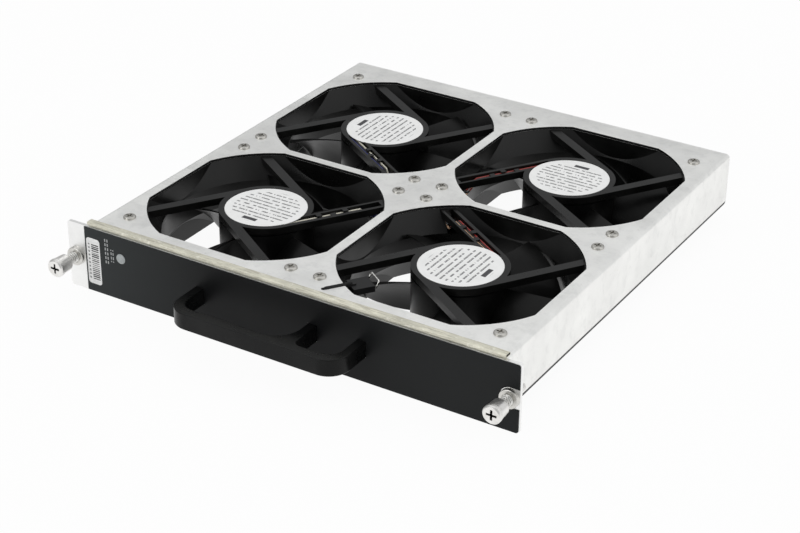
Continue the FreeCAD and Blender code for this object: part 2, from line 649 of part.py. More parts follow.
def make_rear():
    """The board on the rear flange, its standoffs and screws, the lead header and the rear connector."""
    board = new_body("control_board")
    plate = sketch(board, "XZ_Plane", lift=-BOARD_FACE)
    box(plate, -d.board_w / 2, d.board_w / 2, d.plug_z - d.board_h / 2, d.plug_z + d.board_h / 2)
    for side in (-1, 1):
        circle(plate, d.standoff_pitch / 2 * side, d.plug_z, d.board_screw_r + d.screw_clear)
    build(board, "Pad", plate, Length=d.board_t, Reversed=True)
    place(board, d.tray_shift, TRAY_Y)

    header = new_body("lead_plug")
    block = sketch(header, "XZ_Plane", lift=-BOARD_FACE)
    box(block, -d.header_w / 2, d.header_w / 2, d.header_z - d.header_h / 2, d.header_z + d.header_h / 2)
    build(header, "Pad", block, Length=d.header_d)
    place(header, d.tray_shift, TRAY_Y)

    standoffs, screws = new_body("board_standoffs"), new_body("board_screws")
    inner = d.sheet_t + d.standoff_len
    bore, neck = d.board_screw_r + d.fit, d.standoff_r - 0.5
    seat = inner + d.board_t
    top = seat + d.board_head_h
    for side in (-1, 1):
        at = (d.standoff_pitch / 2 * side, size(0.0))
        turned(standoffs, (bore, 0.0), (neck, 0.0), (neck, d.sheet_t), (d.standoff_r, d.sheet_t),
               (d.standoff_r, inner), (bore, inner), at=at)
        turned(screws, (0.0, seat - d.board_screw_len), (d.board_screw_r, seat - d.board_screw_len),
               (d.board_screw_r, seat), (d.board_head_r, seat),
               (d.board_head_r, top, d.board_head_h * 0.6), (0.0, top), at=at)
    for item in (standoffs, screws):
        place(item, d.tray_shift, TRAY_Y + d.tray_d, d.plug_z, FLIP, 90.0)

    plug = new_body("rear_connector")
    w, h = d.plug_w / 2, d.plug_h / 2
    shell = box(sketch(plug, "XZ_Plane", lift=inner), -w, w, -h, h, 1.0)
    build(plug, "Pad", shell, Length=inner + d.plug_reach, Reversed=True)
    mouth = sketch(plug, "XZ_Plane", lift=-d.plug_reach)
    box(mouth, d.plug_wall - w, w - d.plug_wall, d.plug_wall - h, h - d.plug_wall)
    build(plug, "Pocket", mouth, Length=d.pocket_depth, Reversed=True)
    pins = sketch(plug, "XZ_Plane", lift=d.pocket_depth - d.plug_reach)
    for i in range(7):
        for row in (-1, 1):
            x, z = d.pin_pitch * (i - 3), d.pin_pitch * 0.5 * row
            box(pins, x - d.pin_w / 2, x + d.pin_w / 2, z - d.pin_w / 2, z + d.pin_w / 2)
    build(plug, "Pad", pins, Length=d.pocket_depth - d.pin_short, Reversed=True)
    place(plug, d.tray_shift, TRAY_Y + d.tray_d, d.plug_z)


# One fan

def fan_place(item, key):
    x, y = fan_centre(key)
    place(item, d.tray_shift + x, TRAY_Y + y, 0.0, UP, float(FANS[key][2]))


def keep_square(body, half, low, high):
    """Cut away all that lies outside an upright square prism."""
    far = d.fan_size
    frame = sketch(body, lift=high)
    box(frame, -far, far, -far, far)
    box(frame, -half, half, -half, half)
    build(body, "Pocket", frame, Length=high - low)


def make_hollow(key):
    """The hollow of a fan: round in the middle, flared to a clipped circle at both ends."""
    body = new_body("hollow_" + key)
    over = d.flare_r + (d.flare_r - d.duct_r) / d.flare_d
    turned(body, (0.0, -1.0), (over, -1.0), (d.duct_r, d.flare_d), (d.duct_r, d.fan_t - d.flare_d),
           (over, d.fan_t + 1), (0.0, d.fan_t + 1))
    keep_square(body, d.flare_half, size(-1.0), d.fan_t + 1)
    return body


def make_frame(key):
    body = new_body("frame_" + key)
    half, high = d.fan_size / 2, d.fan_t - d.base_sink
    wall_r, end_r = d.duct_r + d.duct_wall, d.flare_r + d.duct_wall
    turned(body, (0.0, 0.0), (end_r, 0.0), (wall_r, d.flare_d), (wall_r, d.fan_t - d.flare_d),
           (end_r, d.fan_t), (0.0, d.fan_t))
    keep_square(body, half, size(0.0), d.fan_t)
    for low in (size(0.0), d.fan_t - d.fan_flange_t):
        flange = box(sketch(body, lift=low), -half, half, -half, half, d.fan_corner)
        build(body, "Pad", flange, Length=d.fan_flange_t)
    hollow = make_hollow(key)
    cut = body.newObject("PartDesign::Boolean", "cut")
    cut.Type = "Cut"
    cut.setObjects([hollow])
    body.Tip = cut

    build(body, "Pad", circle(sketch(body, lift=BASE_LOW), 0.0, 0.0, d.base_r), Length=d.base_t)
    # struts that leave the motor base as tangents, one of them wider for the lead channel
    side = -d.base_r
    strut = box(sketch(body, lift=BASE_LOW, turn=d.strut_turn), 0.0, d.strut_len, side, side + d.strut_w)
    around(body, [build(body, "Pad", strut, Length=d.base_t)], 4)
    wide = sketch(body, lift=BASE_LOW, turn=d.strut_turn)
    box(wide, 0.0, d.strut_len, side, side + d.channel_strut_w)
    build(body, "Pad", wide, Length=d.base_t)
    tube = circle(sketch(body, lift=BASE_LOW), 0.0, 0.0, d.tube_r)
    build(body, "Pad", tube, Length=BASE_LOW - d.tube_low, Reversed=True)
    bore = circle(sketch(body, lift=d.tube_low), 0.0, 0.0, d.bearing_r + d.fit)
    build(body, "Pocket", bore, Length=d.upper_bearing + d.bearing_h - d.tube_low, Reversed=True)
    seat = circle(sketch(body, lift=high), 0.0, 0.0, d.label_r + d.screw_clear)
    build(body, "Pocket", seat, Length=d.label_sink)

    # lead channel, the lead hole at its inner end and the window in the duct wall at its outer end
    w = d.channel_w / 2
    right, left = -LANE - w, w - LANE
    under = d.fan_t - d.fan_flange_t
    for level, first, last, depth in (
        (high, d.channel_from, d.channel_len, d.channel_depth),
        (high, d.channel_from, d.channel_from + 2, d.base_t * 1.1),
        (high, d.window_from, d.channel_len, high - d.window_low),
        (under, d.channel_len - 1, d.strut_len + 8, under - d.window_low),
    ):
        groove = box(sketch(body, lift=level, turn=d.strut_turn), first, last, right, left)
        build(body, "Pocket", groove, Length=depth)
    tabs = sketch(body, lift=high - d.tab_t, turn=d.strut_turn)
    for i in range(3):
        first = d.tab_from + d.tab_step * i
        low, top = (left - d.tab_reach, left + 0.5) if i % 2 == 0 else (right - 0.5, right + d.tab_reach)
        box(tabs, first, first + d.tab_len, low, top)
    build(body, "Pad", tabs, Length=d.tab_t)
    holes = sketch(body, lift=d.fan_t)
    for a, b in ((1, 1), (1, -1), (-1, 1), (-1, -1)):
        circle(holes, d.fan_hole_pitch / 2 * a, d.fan_hole_pitch / 2 * b, d.fan_hole_r)
    build(body, "Pocket", holes, Length=d.fan_t * 1.05)
    fan_place(body, key)

    label = new_body("label_" + key)
    disc = circle(sketch(label, lift=high - d.label_sink), 0.0, 0.0, d.label_r)
    build(label, "Pad", disc, Length=d.label_t)
    fan_place(label, key)


def blade_section(body, radius, chord, pitch, camber, thick):
    """A cambered plate section on a plane at one radius, turned to the blade's pitch there."""
    item = sketch(body, "YZ_Plane", lift=radius, at=(0.0, d.blade_mid_z), turn=pitch)
    a, e = chord / 2, d.blade_edge / 2
    points = [(-a, -e), (a, -e), (a, e), (-a, e)]
    arcs = {}
    for i, sag, level in ((0, camber - thick / 2, -1), (2, camber + thick / 2, 1)):
        rise = sag if level < 0 else sag - d.blade_edge
        r = (a * a + rise * rise) / (rise * 2)
        arcs[i] = (r, (0.0, level * e.value + rise.value - r.value))
    return draw(item, points, arcs)


def make_impeller(key):
    body = new_body("impeller_" + key)
    floor, inner = d.hub_low + d.hub_wall, d.hub_r - d.hub_wall
    boss_top, bore_low = floor + d.boss_h, d.hub_low + 0.8
    c, tip = d.hub_chamfer, d.duct_r - d.blade_tip_gap
    turned(body, (0.0, d.hub_low), (d.hub_r - c, d.hub_low), (d.hub_r, d.hub_low + c), (d.hub_r, HUB_TOP),
           (0.0, HUB_TOP))
    sections = [
        blade_section(body, inner - 1, d.root_chord, d.root_pitch, d.root_camber, d.root_thick),
        blade_section(body, (inner + tip) / 2, d.mid_chord, d.mid_pitch, d.mid_camber, d.mid_thick),
        blade_section(body, tip + 1, d.tip_chord, d.tip_pitch, d.tip_camber, d.tip_thick),
    ]
    blade = body.newObject("PartDesign::AdditiveLoft", "blade")
    blade.Profile = sections[0]
    blade.Sections = sections[1:]
    around(body, [blade], d.blade_count)
    # the profile stands opposite the first blade, so that the cut's seam falls between two blades
    turned(body, (-tip, -5.0), (-tip - 20, -5.0), (-tip - 20, d.fan_t), (-tip, d.fan_t), kind="Groove")
    bore = d.shaft_r + d.fit
    turned(body, (0.0, bore_low), (bore, bore_low), (bore, boss_top), (d.boss_r, boss_top), (d.boss_r, floor),
           (inner, floor), (inner, HUB_TOP + 1), (0.0, HUB_TOP + 1), kind="Groove")

    shaft = new_body("shaft_" + key)
    end = d.upper_bearing + d.bearing_h - 0.6
    turned(shaft, (0.0, bore_low), (d.shaft_r, bore_low), (d.shaft_r, end), (0.0, end))

    yoke = new_body("yoke_" + key)
    out, eye = inner - d.fit, d.boss_r + d.screw_clear
    ring = out - d.yoke_wall
    turned(yoke, (eye, floor), (out, floor), (out, floor + d.yoke_h), (ring, floor + d.yoke_h),
           (ring, floor + d.yoke_end), (eye, floor + d.yoke_end))

    magnet = new_body("magnet_" + key)
    low, out = floor + d.yoke_end, ring - d.fit
    eye, top = out - d.magnet_wall, low + d.magnet_h
    turned(magnet, (eye, low), (out, low), (out, top), (eye, top))
    x, y = fan_centre(key)
    turn = getattr(d, "rotor_turn_" + key) + FANS[key][2]
    for item in (body, shaft, yoke, magnet):
        place(item, d.tray_shift + x, TRAY_Y + y, 0.0, UP, turn)


# Pieces that are alike in all four fans, one node per kind

def at_fans(*heights):
    return [
        (d.tray_shift + x, TRAY_Y + y, z)
        for x, y in map(fan_centre, FANS) for z in heights
    ]


def at_holes(height):
    return [
        (x + d.fan_hole_pitch / 2 * a, y + d.fan_hole_pitch / 2 * b, height)
        for x, y, _ in at_fans(0.0) for a in (-1, 1) for b in (-1, 1)
    ]


def make_motors():
    bearing = new_body("bearing")
    bore = d.shaft_r + d.fit
    turned(bearing, (bore, 0.0), (d.bearing_r, 0.0), (d.bearing_r, d.bearing_h), (bore, d.bearing_h))
    group("bearings", bearing, at_fans(d.tube_low + 0.3, d.upper_bearing))

    core = new_body("stator")
    rotor_in = d.hub_r - d.hub_wall - d.yoke_wall - d.magnet_wall - d.fit * 2
    reach, hub = rotor_in - d.air_gap, d.tube_r + d.core_ring
    shoe_in = reach - d.shoe_t
    ring = circle(sketch(core), 0.0, 0.0, hub)
    circle(ring, 0.0, 0.0, d.tube_r + d.fit)
    build(core, "Pad", ring, Length=d.core_h)
    for first, last, width in ((hub - 1, reach - 1, d.pole_w), (shoe_in, reach + 1, d.shoe_w)):
        arm = box(sketch(core), first, last, -width / 2, width / 2)
        around(core, [build(core, "Pad", arm, Length=d.core_h)], 4)
    top = d.core_h + 1
    turned(core, (reach, -1.0), (reach + 9, -1.0), (reach + 9, top), (reach, top), kind="Groove")
    group("stators", core, at_fans(d.core_low))

    coil = new_body("winding")
    w, gap = d.pole_w / 2 + d.fit, d.coil_gap
    face = sketch(coil, "YZ_Plane", lift=hub + gap)
    box(face, -w - d.coil_t, w + d.coil_t, -d.coil_t, d.core_h + d.coil_t)
    box(face, -w, w, -d.fit, d.core_h + d.fit)
    around(coil, [build(coil, "Pad", face, Length=shoe_in - hub - gap * 2)], 4)
    group("windings", coil, at_fans(d.core_low))

    board = new_body("motor_board")
    disc = circle(sketch(board), 0.0, 0.0, d.motor_board_r)
    circle(disc, 0.0, 0.0, d.tube_r + d.screw_clear)
    build(board, "Pad", disc, Length=d.motor_board_t)
    group("motor_boards", board, at_fans(BASE_LOW - d.motor_board_t))


def make_fan_fasteners():
    screw = new_body("fan_screw")
    turned(screw, (0.0, -d.screw_below), (d.screw_r - 0.4, -d.screw_below), (d.screw_r, 0.8 - d.screw_below),
           (d.screw_r, 0.0), (d.screw_head_r, 0.0), (d.screw_head_r, d.screw_head_h, d.screw_head_h * 0.8),
           (0.0, d.screw_head_h))
    recess = cross(sketch(screw, lift=d.screw_head_h), d.recess_w, d.recess_len)
    build(screw, "Pocket", recess, Length=d.recess_depth)
    group("fan_screws", screw, at_holes(TOP_Z))

    nut = new_body("fan_nut")
    a, b = d.nut_flat / 2, d.nut_flat / root(size(3.0))
    hexagon = outline(sketch(nut), (b, 0.0), (b / 2, a), (-b / 2, a), (-b, 0.0), (-b / 2, -a), (b / 2, -a))
    circle(hexagon, 0.0, 0.0, d.screw_r + d.fit)
    build(nut, "Pad", hexagon, Length=d.nut_h)
    group("fan_nuts", nut, at_holes(d.fan_t - d.fan_flange_t - d.nut_h))


# Leads, and the sensor with its cable

def cord(points, radius, bend):
    """A round cord along straight runs that tangent arcs join."""
    edges, start = [], points[0]
    for before, corner, after in zip(points, points[1:], points[2:]):
        a, b = (before - corner).normalize(), (after - corner).normalize()
        half = a.getAngle(b) / 2
        middle = (a + b).normalize()
        p, q = corner + a * (bend / math.tan(half)), corner + b * (bend / math.tan(half))
        crown = corner + middle * (bend / math.sin(half) - bend)
        edges += [Part.LineSegment(start, p).toShape(), Part.Arc(p, crown, q).toShape()]
        start = q
    edges.append(Part.LineSegment(start, points[-1]).toShape())
    end = Part.Wire(Part.makeCircle(radius, points[0], points[1] - points[0]))
    return Part.Wire(edges).makePipeShell([end], True, False)


def cords(label, solids):
    item = doc.addObject("Part::Feature", label)
    item.Label = label
    item.Shape = Part.Compound(solids) if len(solids) > 1 else solids[0]
    place(item, d.tray_shift, TRAY_Y)


def polar_spot(key, turn, x, y, z):
    """A place in a fan's own frame, turned about its middle, in the tray's frame."""
    middle = [v.value for v in fan_centre(key)]
    a = math.radians(turn)
    return V(middle[0] + x * math.cos(a) - y * math.sin(a), middle[1] + x * math.sin(a) + y * math.cos(a), z)


def make_leads(key):
    """Three leads from the motor board along the lead channel, then between the fans to the plug."""
    high = (d.fan_t - d.base_sink - d.channel_depth + d.wire_r).value + 0.05
    end, gap_y = (BOARD_FACE - d.header_d).value, (d.fan_row + d.fan_pitch_y / 2).value
    side, row, turn = FANS[key]
    column = d.wire_column.value * side
    solids = []
    for i in range(3):
        across = d.wire_side.value * (i - 1)
        low = (d.wire_top - d.wire_step * i).value
        rest = low if row < 0 else low - d.wire_step.value * 3

        def spot(along, z):
            return polar_spot(key, turn + d.strut_turn.value, along, across - LANE.value, z)

        inner = d.channel_from.value + 1
        window, wall = d.window_from.value, d.channel_len.value
        path = [spot(inner, BASE_LOW.value), spot(inner, high), spot(window + 2, high),
                spot(wall - 4, low), spot(wall + 3, low)]
        out = path[-1]
        if side * row < 0:
            path += [V(out.x, gap_y, rest), V(column, gap_y, rest), V(column, end, rest)]
        else:
            path += [V(column, out.y, rest), V(column, end, rest)]
        solids.append(cord(path, d.wire_r.value, d.wire_bend.value))
    cords("leads_" + key, solids)


def make_signals():
    """The indicator's two leads and the sensor's holder, wire loop and cable."""
    end, front = (BOARD_FACE - d.header_d).value, d.signal_y.value
    x, back = (d.led_x - d.tray_shift).value, (d.led_len - d.led_proud - d.panel_t).value
    run = d.signal_run.value
    solids = []
    for i in (0, 1):
        z = (d.led_z + d.led_pin_pitch * (0.5 - i)).value
        low = (d.signal_z - d.wire_step * i).value
        path = [V(x, back, z), V(x, front, z), V(x + run, front, z), V(x + run * 2, front, low),
                V(0, front, low), V(0, end, low)]
        solids.append(cord(path, d.wire_r.value, d.wire_bend.value))
    cords("led_leads", solids)

    holder = new_body("sensor_holder")
    high, w = d.fan_t + d.holder_proud, d.holder_w / 2
    block = box(sketch(holder, lift=high - d.holder_t), d.holder_from, d.holder_to, -w, w)
    build(holder, "Pad", block, Length=d.holder_t)
    w = d.slot_w / 2 - d.screw_clear
    neck = box(sketch(holder, lift=d.fan_t), d.holder_to - 3, d.neck_to, -w, w)
    build(holder, "Pad", neck, Length=d.sheet_t - 0.1)
    fx, fy = fan_centre("fr")
    place(holder, d.tray_shift + fx, TRAY_Y + fy, 0.0, UP, d.sensor_turn)

    def spot(out, across, z):
        return polar_spot("fr", d.sensor_turn.value, out, across, z)

    near, w, z = (d.holder_from - d.loop_gap).value, d.loop_w.value / 2, high.value - d.holder_t.value / 2
    tip, top = near - d.loop_reach.value, z + d.loop_rise.value
    loop = [spot(near, w, z), spot(tip, w, top), spot(tip, -w, top), spot(near, -w, z)]
    cords("sensor_probe", [cord(loop, d.loop_r.value, d.wire_bend.value)])

    z = (d.fan_t + d.cable_r).value + 0.05
    low = (d.signal_z - d.wire_step - d.wire_r - d.cable_gap - d.cable_r).value
    drop = (d.slot_end - d.slot_w / 2).value
    down = spot(drop, 0, low)
    path = [spot(d.neck_to.value, 0, z), spot(drop, 0, z), down, V(0, down.y, low), V(0, end, low)]
    cords("sensor_cable", [cord(path, d.cable_r.value, d.cable_bend.value)])


make_tray()
make_panel()
make_overlay()
make_gasket()
make_handle()
make_captive_screw("left", -1)
make_captive_screw("right", 1)
make_indicator()
make_rear()
for fan in FANS:
    make_frame(fan)
    make_impeller(fan)
    make_leads(fan)
make_motors()
make_fan_fasteners()
make_signals()

doc.recompute()
faults = [item.Label for item in doc.Objects if "Invalid" in item.State or "Error" in item.State]
faults += [item.Label for item in PIECES if item.Shape.isNull() or not item.Shape.isValid()]
if faults:
    raise RuntimeError("faulty objects: " + ", ".join(faults))

os.makedirs("parts", exist_ok=True)
for item in PIECES:
    item.Shape.exportStep("parts/%s.step" % item.Label)
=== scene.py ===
"""Looks of a slide-in cooling fan tray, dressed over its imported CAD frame.

Lengths are metres in the part's frame: +X to the right along the face plate, +Y into the chassis, +Z up.
"""

import logging
import math
from dataclasses import dataclass, field, replace
from enum import Enum

import bpy
import numpy as np
from mathutils import Matrix, Vector
from mathutils.geometry import delaunay_2d_cdt

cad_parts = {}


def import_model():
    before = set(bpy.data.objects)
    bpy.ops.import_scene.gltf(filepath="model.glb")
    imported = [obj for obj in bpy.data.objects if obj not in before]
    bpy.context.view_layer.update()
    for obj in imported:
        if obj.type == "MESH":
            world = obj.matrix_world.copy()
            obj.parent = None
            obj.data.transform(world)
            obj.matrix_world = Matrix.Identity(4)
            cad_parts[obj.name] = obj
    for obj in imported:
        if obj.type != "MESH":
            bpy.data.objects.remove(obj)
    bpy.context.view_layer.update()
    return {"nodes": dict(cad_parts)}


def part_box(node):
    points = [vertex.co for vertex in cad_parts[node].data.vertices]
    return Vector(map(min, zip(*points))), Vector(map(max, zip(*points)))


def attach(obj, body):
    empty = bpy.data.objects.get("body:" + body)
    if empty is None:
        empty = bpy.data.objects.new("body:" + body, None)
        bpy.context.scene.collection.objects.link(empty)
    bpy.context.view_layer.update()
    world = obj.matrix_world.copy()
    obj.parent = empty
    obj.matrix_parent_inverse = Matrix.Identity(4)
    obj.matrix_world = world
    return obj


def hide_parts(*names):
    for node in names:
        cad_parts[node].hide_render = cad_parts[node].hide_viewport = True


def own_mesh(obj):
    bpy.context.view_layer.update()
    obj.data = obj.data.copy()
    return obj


log = logging.getLogger("fan_tray")
Colour = tuple[float, float, float]
Point = tuple[float, float, float]
Pair = tuple[float, float]
Socket = bpy.types.NodeSocket
Feed = Socket | float | Colour | tuple[float, float, float, float]
ROOT = "tray"
MM = 0.001
IN_MM: Point = (1000.0, 1000.0, 1000.0)
# Pitch of a wave texture's bands at a scale of 1
WAVE_PITCH = 0.31


class Fan(Enum):
    """The four fans by place, with the middle of each and the turn of its frame in degrees."""

    FRONT_LEFT = ("fl", -0.0591, -0.05175, 0.0)
    FRONT_RIGHT = ("fr", 0.0637, -0.05175, 90.0)
    BACK_RIGHT = ("br", 0.0637, 0.07025, 180.0)
    BACK_LEFT = ("bl", -0.0591, 0.07025, 270.0)

    @property
    def key(self) -> str:
        """The ending of the fan's node names."""
        return self.value[0]

    @property
    def middle(self) -> Pair:
        """The fan's axis in X and Y."""
        return self.value[1:3]

    @property
    def turn(self) -> float:
        """The turn of the fan's frame, in degrees."""
        return self.value[3]


class Side(Enum):
    """The two captive screws, by the start of their node names."""

    LEFT = "left"
    RIGHT = "right"


@dataclass(frozen=True)
class Cloud:
    """A cloudy pattern with values round one half.

    Scale counts its features per metre of the stretched coordinates. Fine is the share of its finer octaves.
    It shows not at all up to the value low, and with its full share from the value high.
    """

    scale: float
    octaves: float
    fine: float
    low: float = 0.3
    high: float = 0.7
    full: float = 1.0
    stretch: Point = (1.0, 1.0, 1.0)


class Graph:
    """A material under construction: its shader, and short ways to add and join nodes."""

    def __init__(self, name: str) -> None:
        """Start a material with one shader.

        Args:
            name: The material's name.
        """
        self.material = bpy.data.materials.new(name)
        self.material.use_nodes = True
        self.tree = self.material.node_tree
        self.shader = self.tree.nodes["Principled BSDF"]

    def feed(self, socket: Socket, value: Feed) -> None:
        """Join a socket to another, or set its own value.

        Args:
            socket: The input.
            value: An output socket, a number, or a colour of three or four numbers.
        """
        if isinstance(value, bpy.types.NodeSocket):
            self.tree.links.new(value, socket)
        elif isinstance(value, tuple) and socket.type == "RGBA" and len(value) == 3:
            socket.default_value = (*value, 1.0)
        else:
            socket.default_value = value

    def node(self, kind: str, inputs: dict[str | int, Feed] | None = None,
             **settings: object) -> bpy.types.Node:
        """Add a node.

        Args:
            kind: Blender's name of the node type.
            inputs: Input names or numbers with what feeds them.
            settings: Properties of the node itself.

        Returns:
            The node.
        """
        item = self.tree.nodes.new(kind)
        for key, value in settings.items():
            setattr(item, key, value)
        for key, value in (inputs or {}).items():
            self.feed(item.inputs[key], value)
        return item

    def place(self, scale: Point = (1.0, 1.0, 1.0), middle: Point = (0.0, 0.0, 0.0),
              turn: float = 0.0) -> Socket:
        """Object coordinates measured from a middle point, turned about Z and stretched.

        Args:
            scale: Stretch along each axis, after the turn.
            middle: The point that becomes the origin.
            turn: Degrees about Z that the pattern is turned.

        Returns:
            The vector output.
        """
        seat = self.node("ShaderNodeTexCoord").outputs["Object"]
        moved = self.node("ShaderNodeVectorMath", {0: seat, 1: middle}, operation="SUBTRACT").outputs[0]
        spun = self.node("ShaderNodeVectorRotate", {"Vector": moved, "Angle": -math.radians(turn)},
                         rotation_type="Z_AXIS").outputs[0]
        return self.node("ShaderNodeVectorMath", {0: spun, 1: scale}, operation="MULTIPLY").outputs[0]

    def axes(self, vector: Socket) -> tuple[Socket, ...]:
        """The X, Y and Z parts of a vector."""
        return tuple(self.node("ShaderNodeSeparateXYZ", {0: vector}).outputs)

    def pair(self, x: Socket, y: Socket) -> Socket:
        """A vector from its X and Y."""
        return self.node("ShaderNodeCombineXYZ", {0: x, 1: y}).outputs[0]

    def reach(self, vector: Socket) -> Socket:
        """The length of a vector."""
        return self.node("ShaderNodeVectorMath", {0: vector}, operation="LENGTH").outputs[1]

    def span(self, value: Socket, low: float, high: float, first: float = 0.0, last: float = 1.0) -> Socket:
        """Carry the range low to high over to first to last, held at its ends."""
        found = {"Value": value, "From Min": low, "From Max": high, "To Min": first, "To Max": last}
        return self.node("ShaderNodeMapRange", found).outputs["Result"]

    def sum(self, kind: str, *values: Feed) -> Socket:
        """One step of arithmetic, by Blender's name of the operation, on values in order."""
        return self.node("ShaderNodeMath", dict(enumerate(values)), operation=kind).outputs[0]

    def times(self, *values: Feed) -> Socket:
        """The product of values.

        Args:
            values: The factors, of which the first is a socket.

        Returns:
            The value output.
        """
        total, *others = values
        for value in others:
            total = self.sum("MULTIPLY", total, value)
        return total

    def off(self, value: Socket, middle: float = 0.0) -> Socket:
        """How far a value lies from a middle."""
        return self.sum("ABSOLUTE", self.sum("SUBTRACT", value, middle))

    def within(self, value: Socket, middle: float, half: float, blur: float) -> Socket:
        """A band round a middle: 1 up to half its width away, and 0 from a blur beyond that."""
        return self.span(self.off(value, middle), half + blur, half)

    def noise(self, pattern: Cloud, vector: Socket | None = None) -> Socket:
        """The bare value of a cloudy pattern.

        Args:
            pattern: The pattern.
            vector: Where it is read, if not on the stretched Object coordinates.

        Returns:
            The value output.
        """
        seat = self.place(pattern.stretch) if vector is None else vector
        found = {"Vector": seat, "Scale": pattern.scale, "Detail": pattern.octaves, "Roughness": pattern.fine}
        return self.node("ShaderNodeTexNoise", found).outputs["Fac"]

    def share(self, pattern: Cloud, value: Socket | None = None) -> Socket:
        """How much of a cloudy pattern shows, from nothing to its full share, at a bare value of it."""
        bare = self.noise(pattern) if value is None else value
        return self.span(bare, pattern.low, pattern.high, 0.0, pattern.full)

    def wave(self, pitch: float, waver: float, way: str, octaves: float = 2.0) -> Socket:
        """Bands a pitch apart along X, Y or a diagonal, which waver."""
        found = {"Vector": self.place(), "Scale": WAVE_PITCH / pitch, "Distortion": waver, "Detail": octaves}
        return self.node("ShaderNodeTexWave", found, bands_direction=way).outputs["Fac"]

    def mix(self, share: Feed, one: Feed, two: Feed) -> Socket:
        """A colour between two.

        Args:
            share: From 0, the first, to 1, the second.
            one: First colour.
            two: Second colour.

        Returns:
            The colour output.
        """
        item = self.node("ShaderNodeMix", data_type="RGBA")
        for socket, value in zip((item.inputs[0], item.inputs[6], item.inputs[7]), (share, one, two)):
            self.feed(socket, value)
        return item.outputs[2]

    def bump(self, height: Socket, depth: float, strength: float = 1.0,
             under: Socket | None = None) -> Socket:
        """A surface normal from a height.

        Args:
            height: The height, from 0 to 1.
            depth: What a height of 1 stands for, in metres.
            strength: How far it shows.
            under: A normal that it lies on.

        Returns:
            The normal output.
        """
        found: dict[str | int, Feed] = {"Height": height, "Distance": depth, "Strength": strength}
        if under is not None:
            found["Normal"] = under
        return self.node("ShaderNodeBump", found).outputs["Normal"]

    def done(self, **sockets: Feed) -> bpy.types.Material:
        """Feed the shader and hand over the material.

        Args:
            sockets: Shader inputs, with _ for a space in their names.

        Returns:
            The material.
        """
        for key, value in sockets.items():
            self.feed(self.shader.inputs[key.replace("_", " ")], value)
        return self.material


@dataclass(frozen=True)
class Finish:
    """A finish of the tray: its name, its main colour and its gloss.

    A relief is a depth in metres and how far it shows. A swing is how far the roughness falls and rises.
    """

    name: str
    colour: Colour
    roughness: float = 0.45

    def build(self) -> bpy.types.Material:
        """Make the material."""
        raise NotImplementedError

    def shade(self, share: float) -> Colour:
        """The main colour with only a share of it left."""
        return tuple(part * share for part in self.colour)

    def gloss(self, g: Graph, clouds: Socket, swing: Pair, ends: Pair = (0.3, 0.7)) -> Socket:
        """Roughness that swings round its main value between two ends of a cloudy value."""
        return g.span(clouds, *ends, self.roughness - swing[0], self.roughness + swing[1])


@dataclass(frozen=True)
class RolledSheet(Finish):
    """Satin sheet metal: fine rolling lines along one axis, faint clouds, small marks, and painted shade on
    its cut edges.

    Painted shade darkens the lowest edge, and the upright walls of openings above one height and between two
    depths.
    """

    lines: Cloud = Cloud(1.0, 4.0, 0.6, 0.2, 0.8, stretch=(14.0, 900.0, 900.0))
    line_gloss: float = 0.07
    line_relief: Pair = (0.00002, 0.35)
    clouds: Cloud = Cloud(38.0, 4.0, 0.6, 0.32, 0.68)
    cloud_shade: float = 0.89
    swing: Pair = (0.04, 0.05)
    marks: Cloud = Cloud(420.0, 2.0, 0.7, 0.66, 0.74, 0.18)
    mark_tone: Colour = (0.45, 0.44, 0.41)
    patches: Cloud = Cloud(190.0, 3.0, 0.6, 0.52, 0.68, stretch=(1.0, 1.0, 0.6))
    patch: float = 0.0
    patch_tone: Colour = (0.42, 0.43, 0.43)
    metal: float = 0.92
    sheared_to: float = -1.0
    sheared_blur: float = 0.0002
    cut_above: float = 1.0
    cut_depths: Pair = (0.0, 0.0)
    cut_tilt: float = 0.4
    # near-black tone of the painted shade on the lowest edge and the openings' cut walls
    cut_shade_tone: Colour = (0.035, 0.035, 0.035)

    def painted_cut_shade(self, g: Graph) -> Socket:
        """Painted shade where the sheet is cut: its lowest edge, and the upright walls of its openings.

        Args:
            g: The material under construction.

        Returns:
            The share of the painted shade, from 0 to 1.
        """
        _, y, z = g.axes(g.place())
        tilt = g.off(g.axes(g.node("ShaderNodeNewGeometry").outputs["True Normal"])[2])
        first, last = self.cut_depths
        walls = g.times(g.sum("LESS_THAN", tilt, self.cut_tilt), g.sum("GREATER_THAN", z, self.cut_above),
                        g.sum("LESS_THAN", g.off(y, (first + last) / 2), (last - first) / 2))
        return g.sum("MAXIMUM", g.span(z, self.sheared_to, self.sheared_to - self.sheared_blur), walls)

    def build(self) -> bpy.types.Material:
        """Make the material.

        Returns:
            The material.
        """
        g = Graph(self.name)
        lines, clouds = g.noise(self.lines), g.noise(self.clouds)
        tone = g.mix(g.share(self.clouds, clouds), self.shade(self.cloud_shade), self.colour)
        tone = g.mix(g.share(self.marks), tone, self.mark_tone)
        tone = g.mix(g.times(g.share(self.patches), self.patch), tone, self.patch_tone)
        # painted shade: the lowest edge and the cut walls of the openings are darkened
        tone = g.mix(self.painted_cut_shade(g), tone, self.cut_shade_tone)
        ripple = g.span(lines, self.lines.low, self.lines.high, -self.line_gloss, self.line_gloss)
        gloss = g.sum("ADD", ripple, self.gloss(g, clouds, self.swing))
        return g.done(Base_Color=tone, Metallic=self.metal, Roughness=gloss,
                      Normal=g.bump(lines, *self.line_relief))


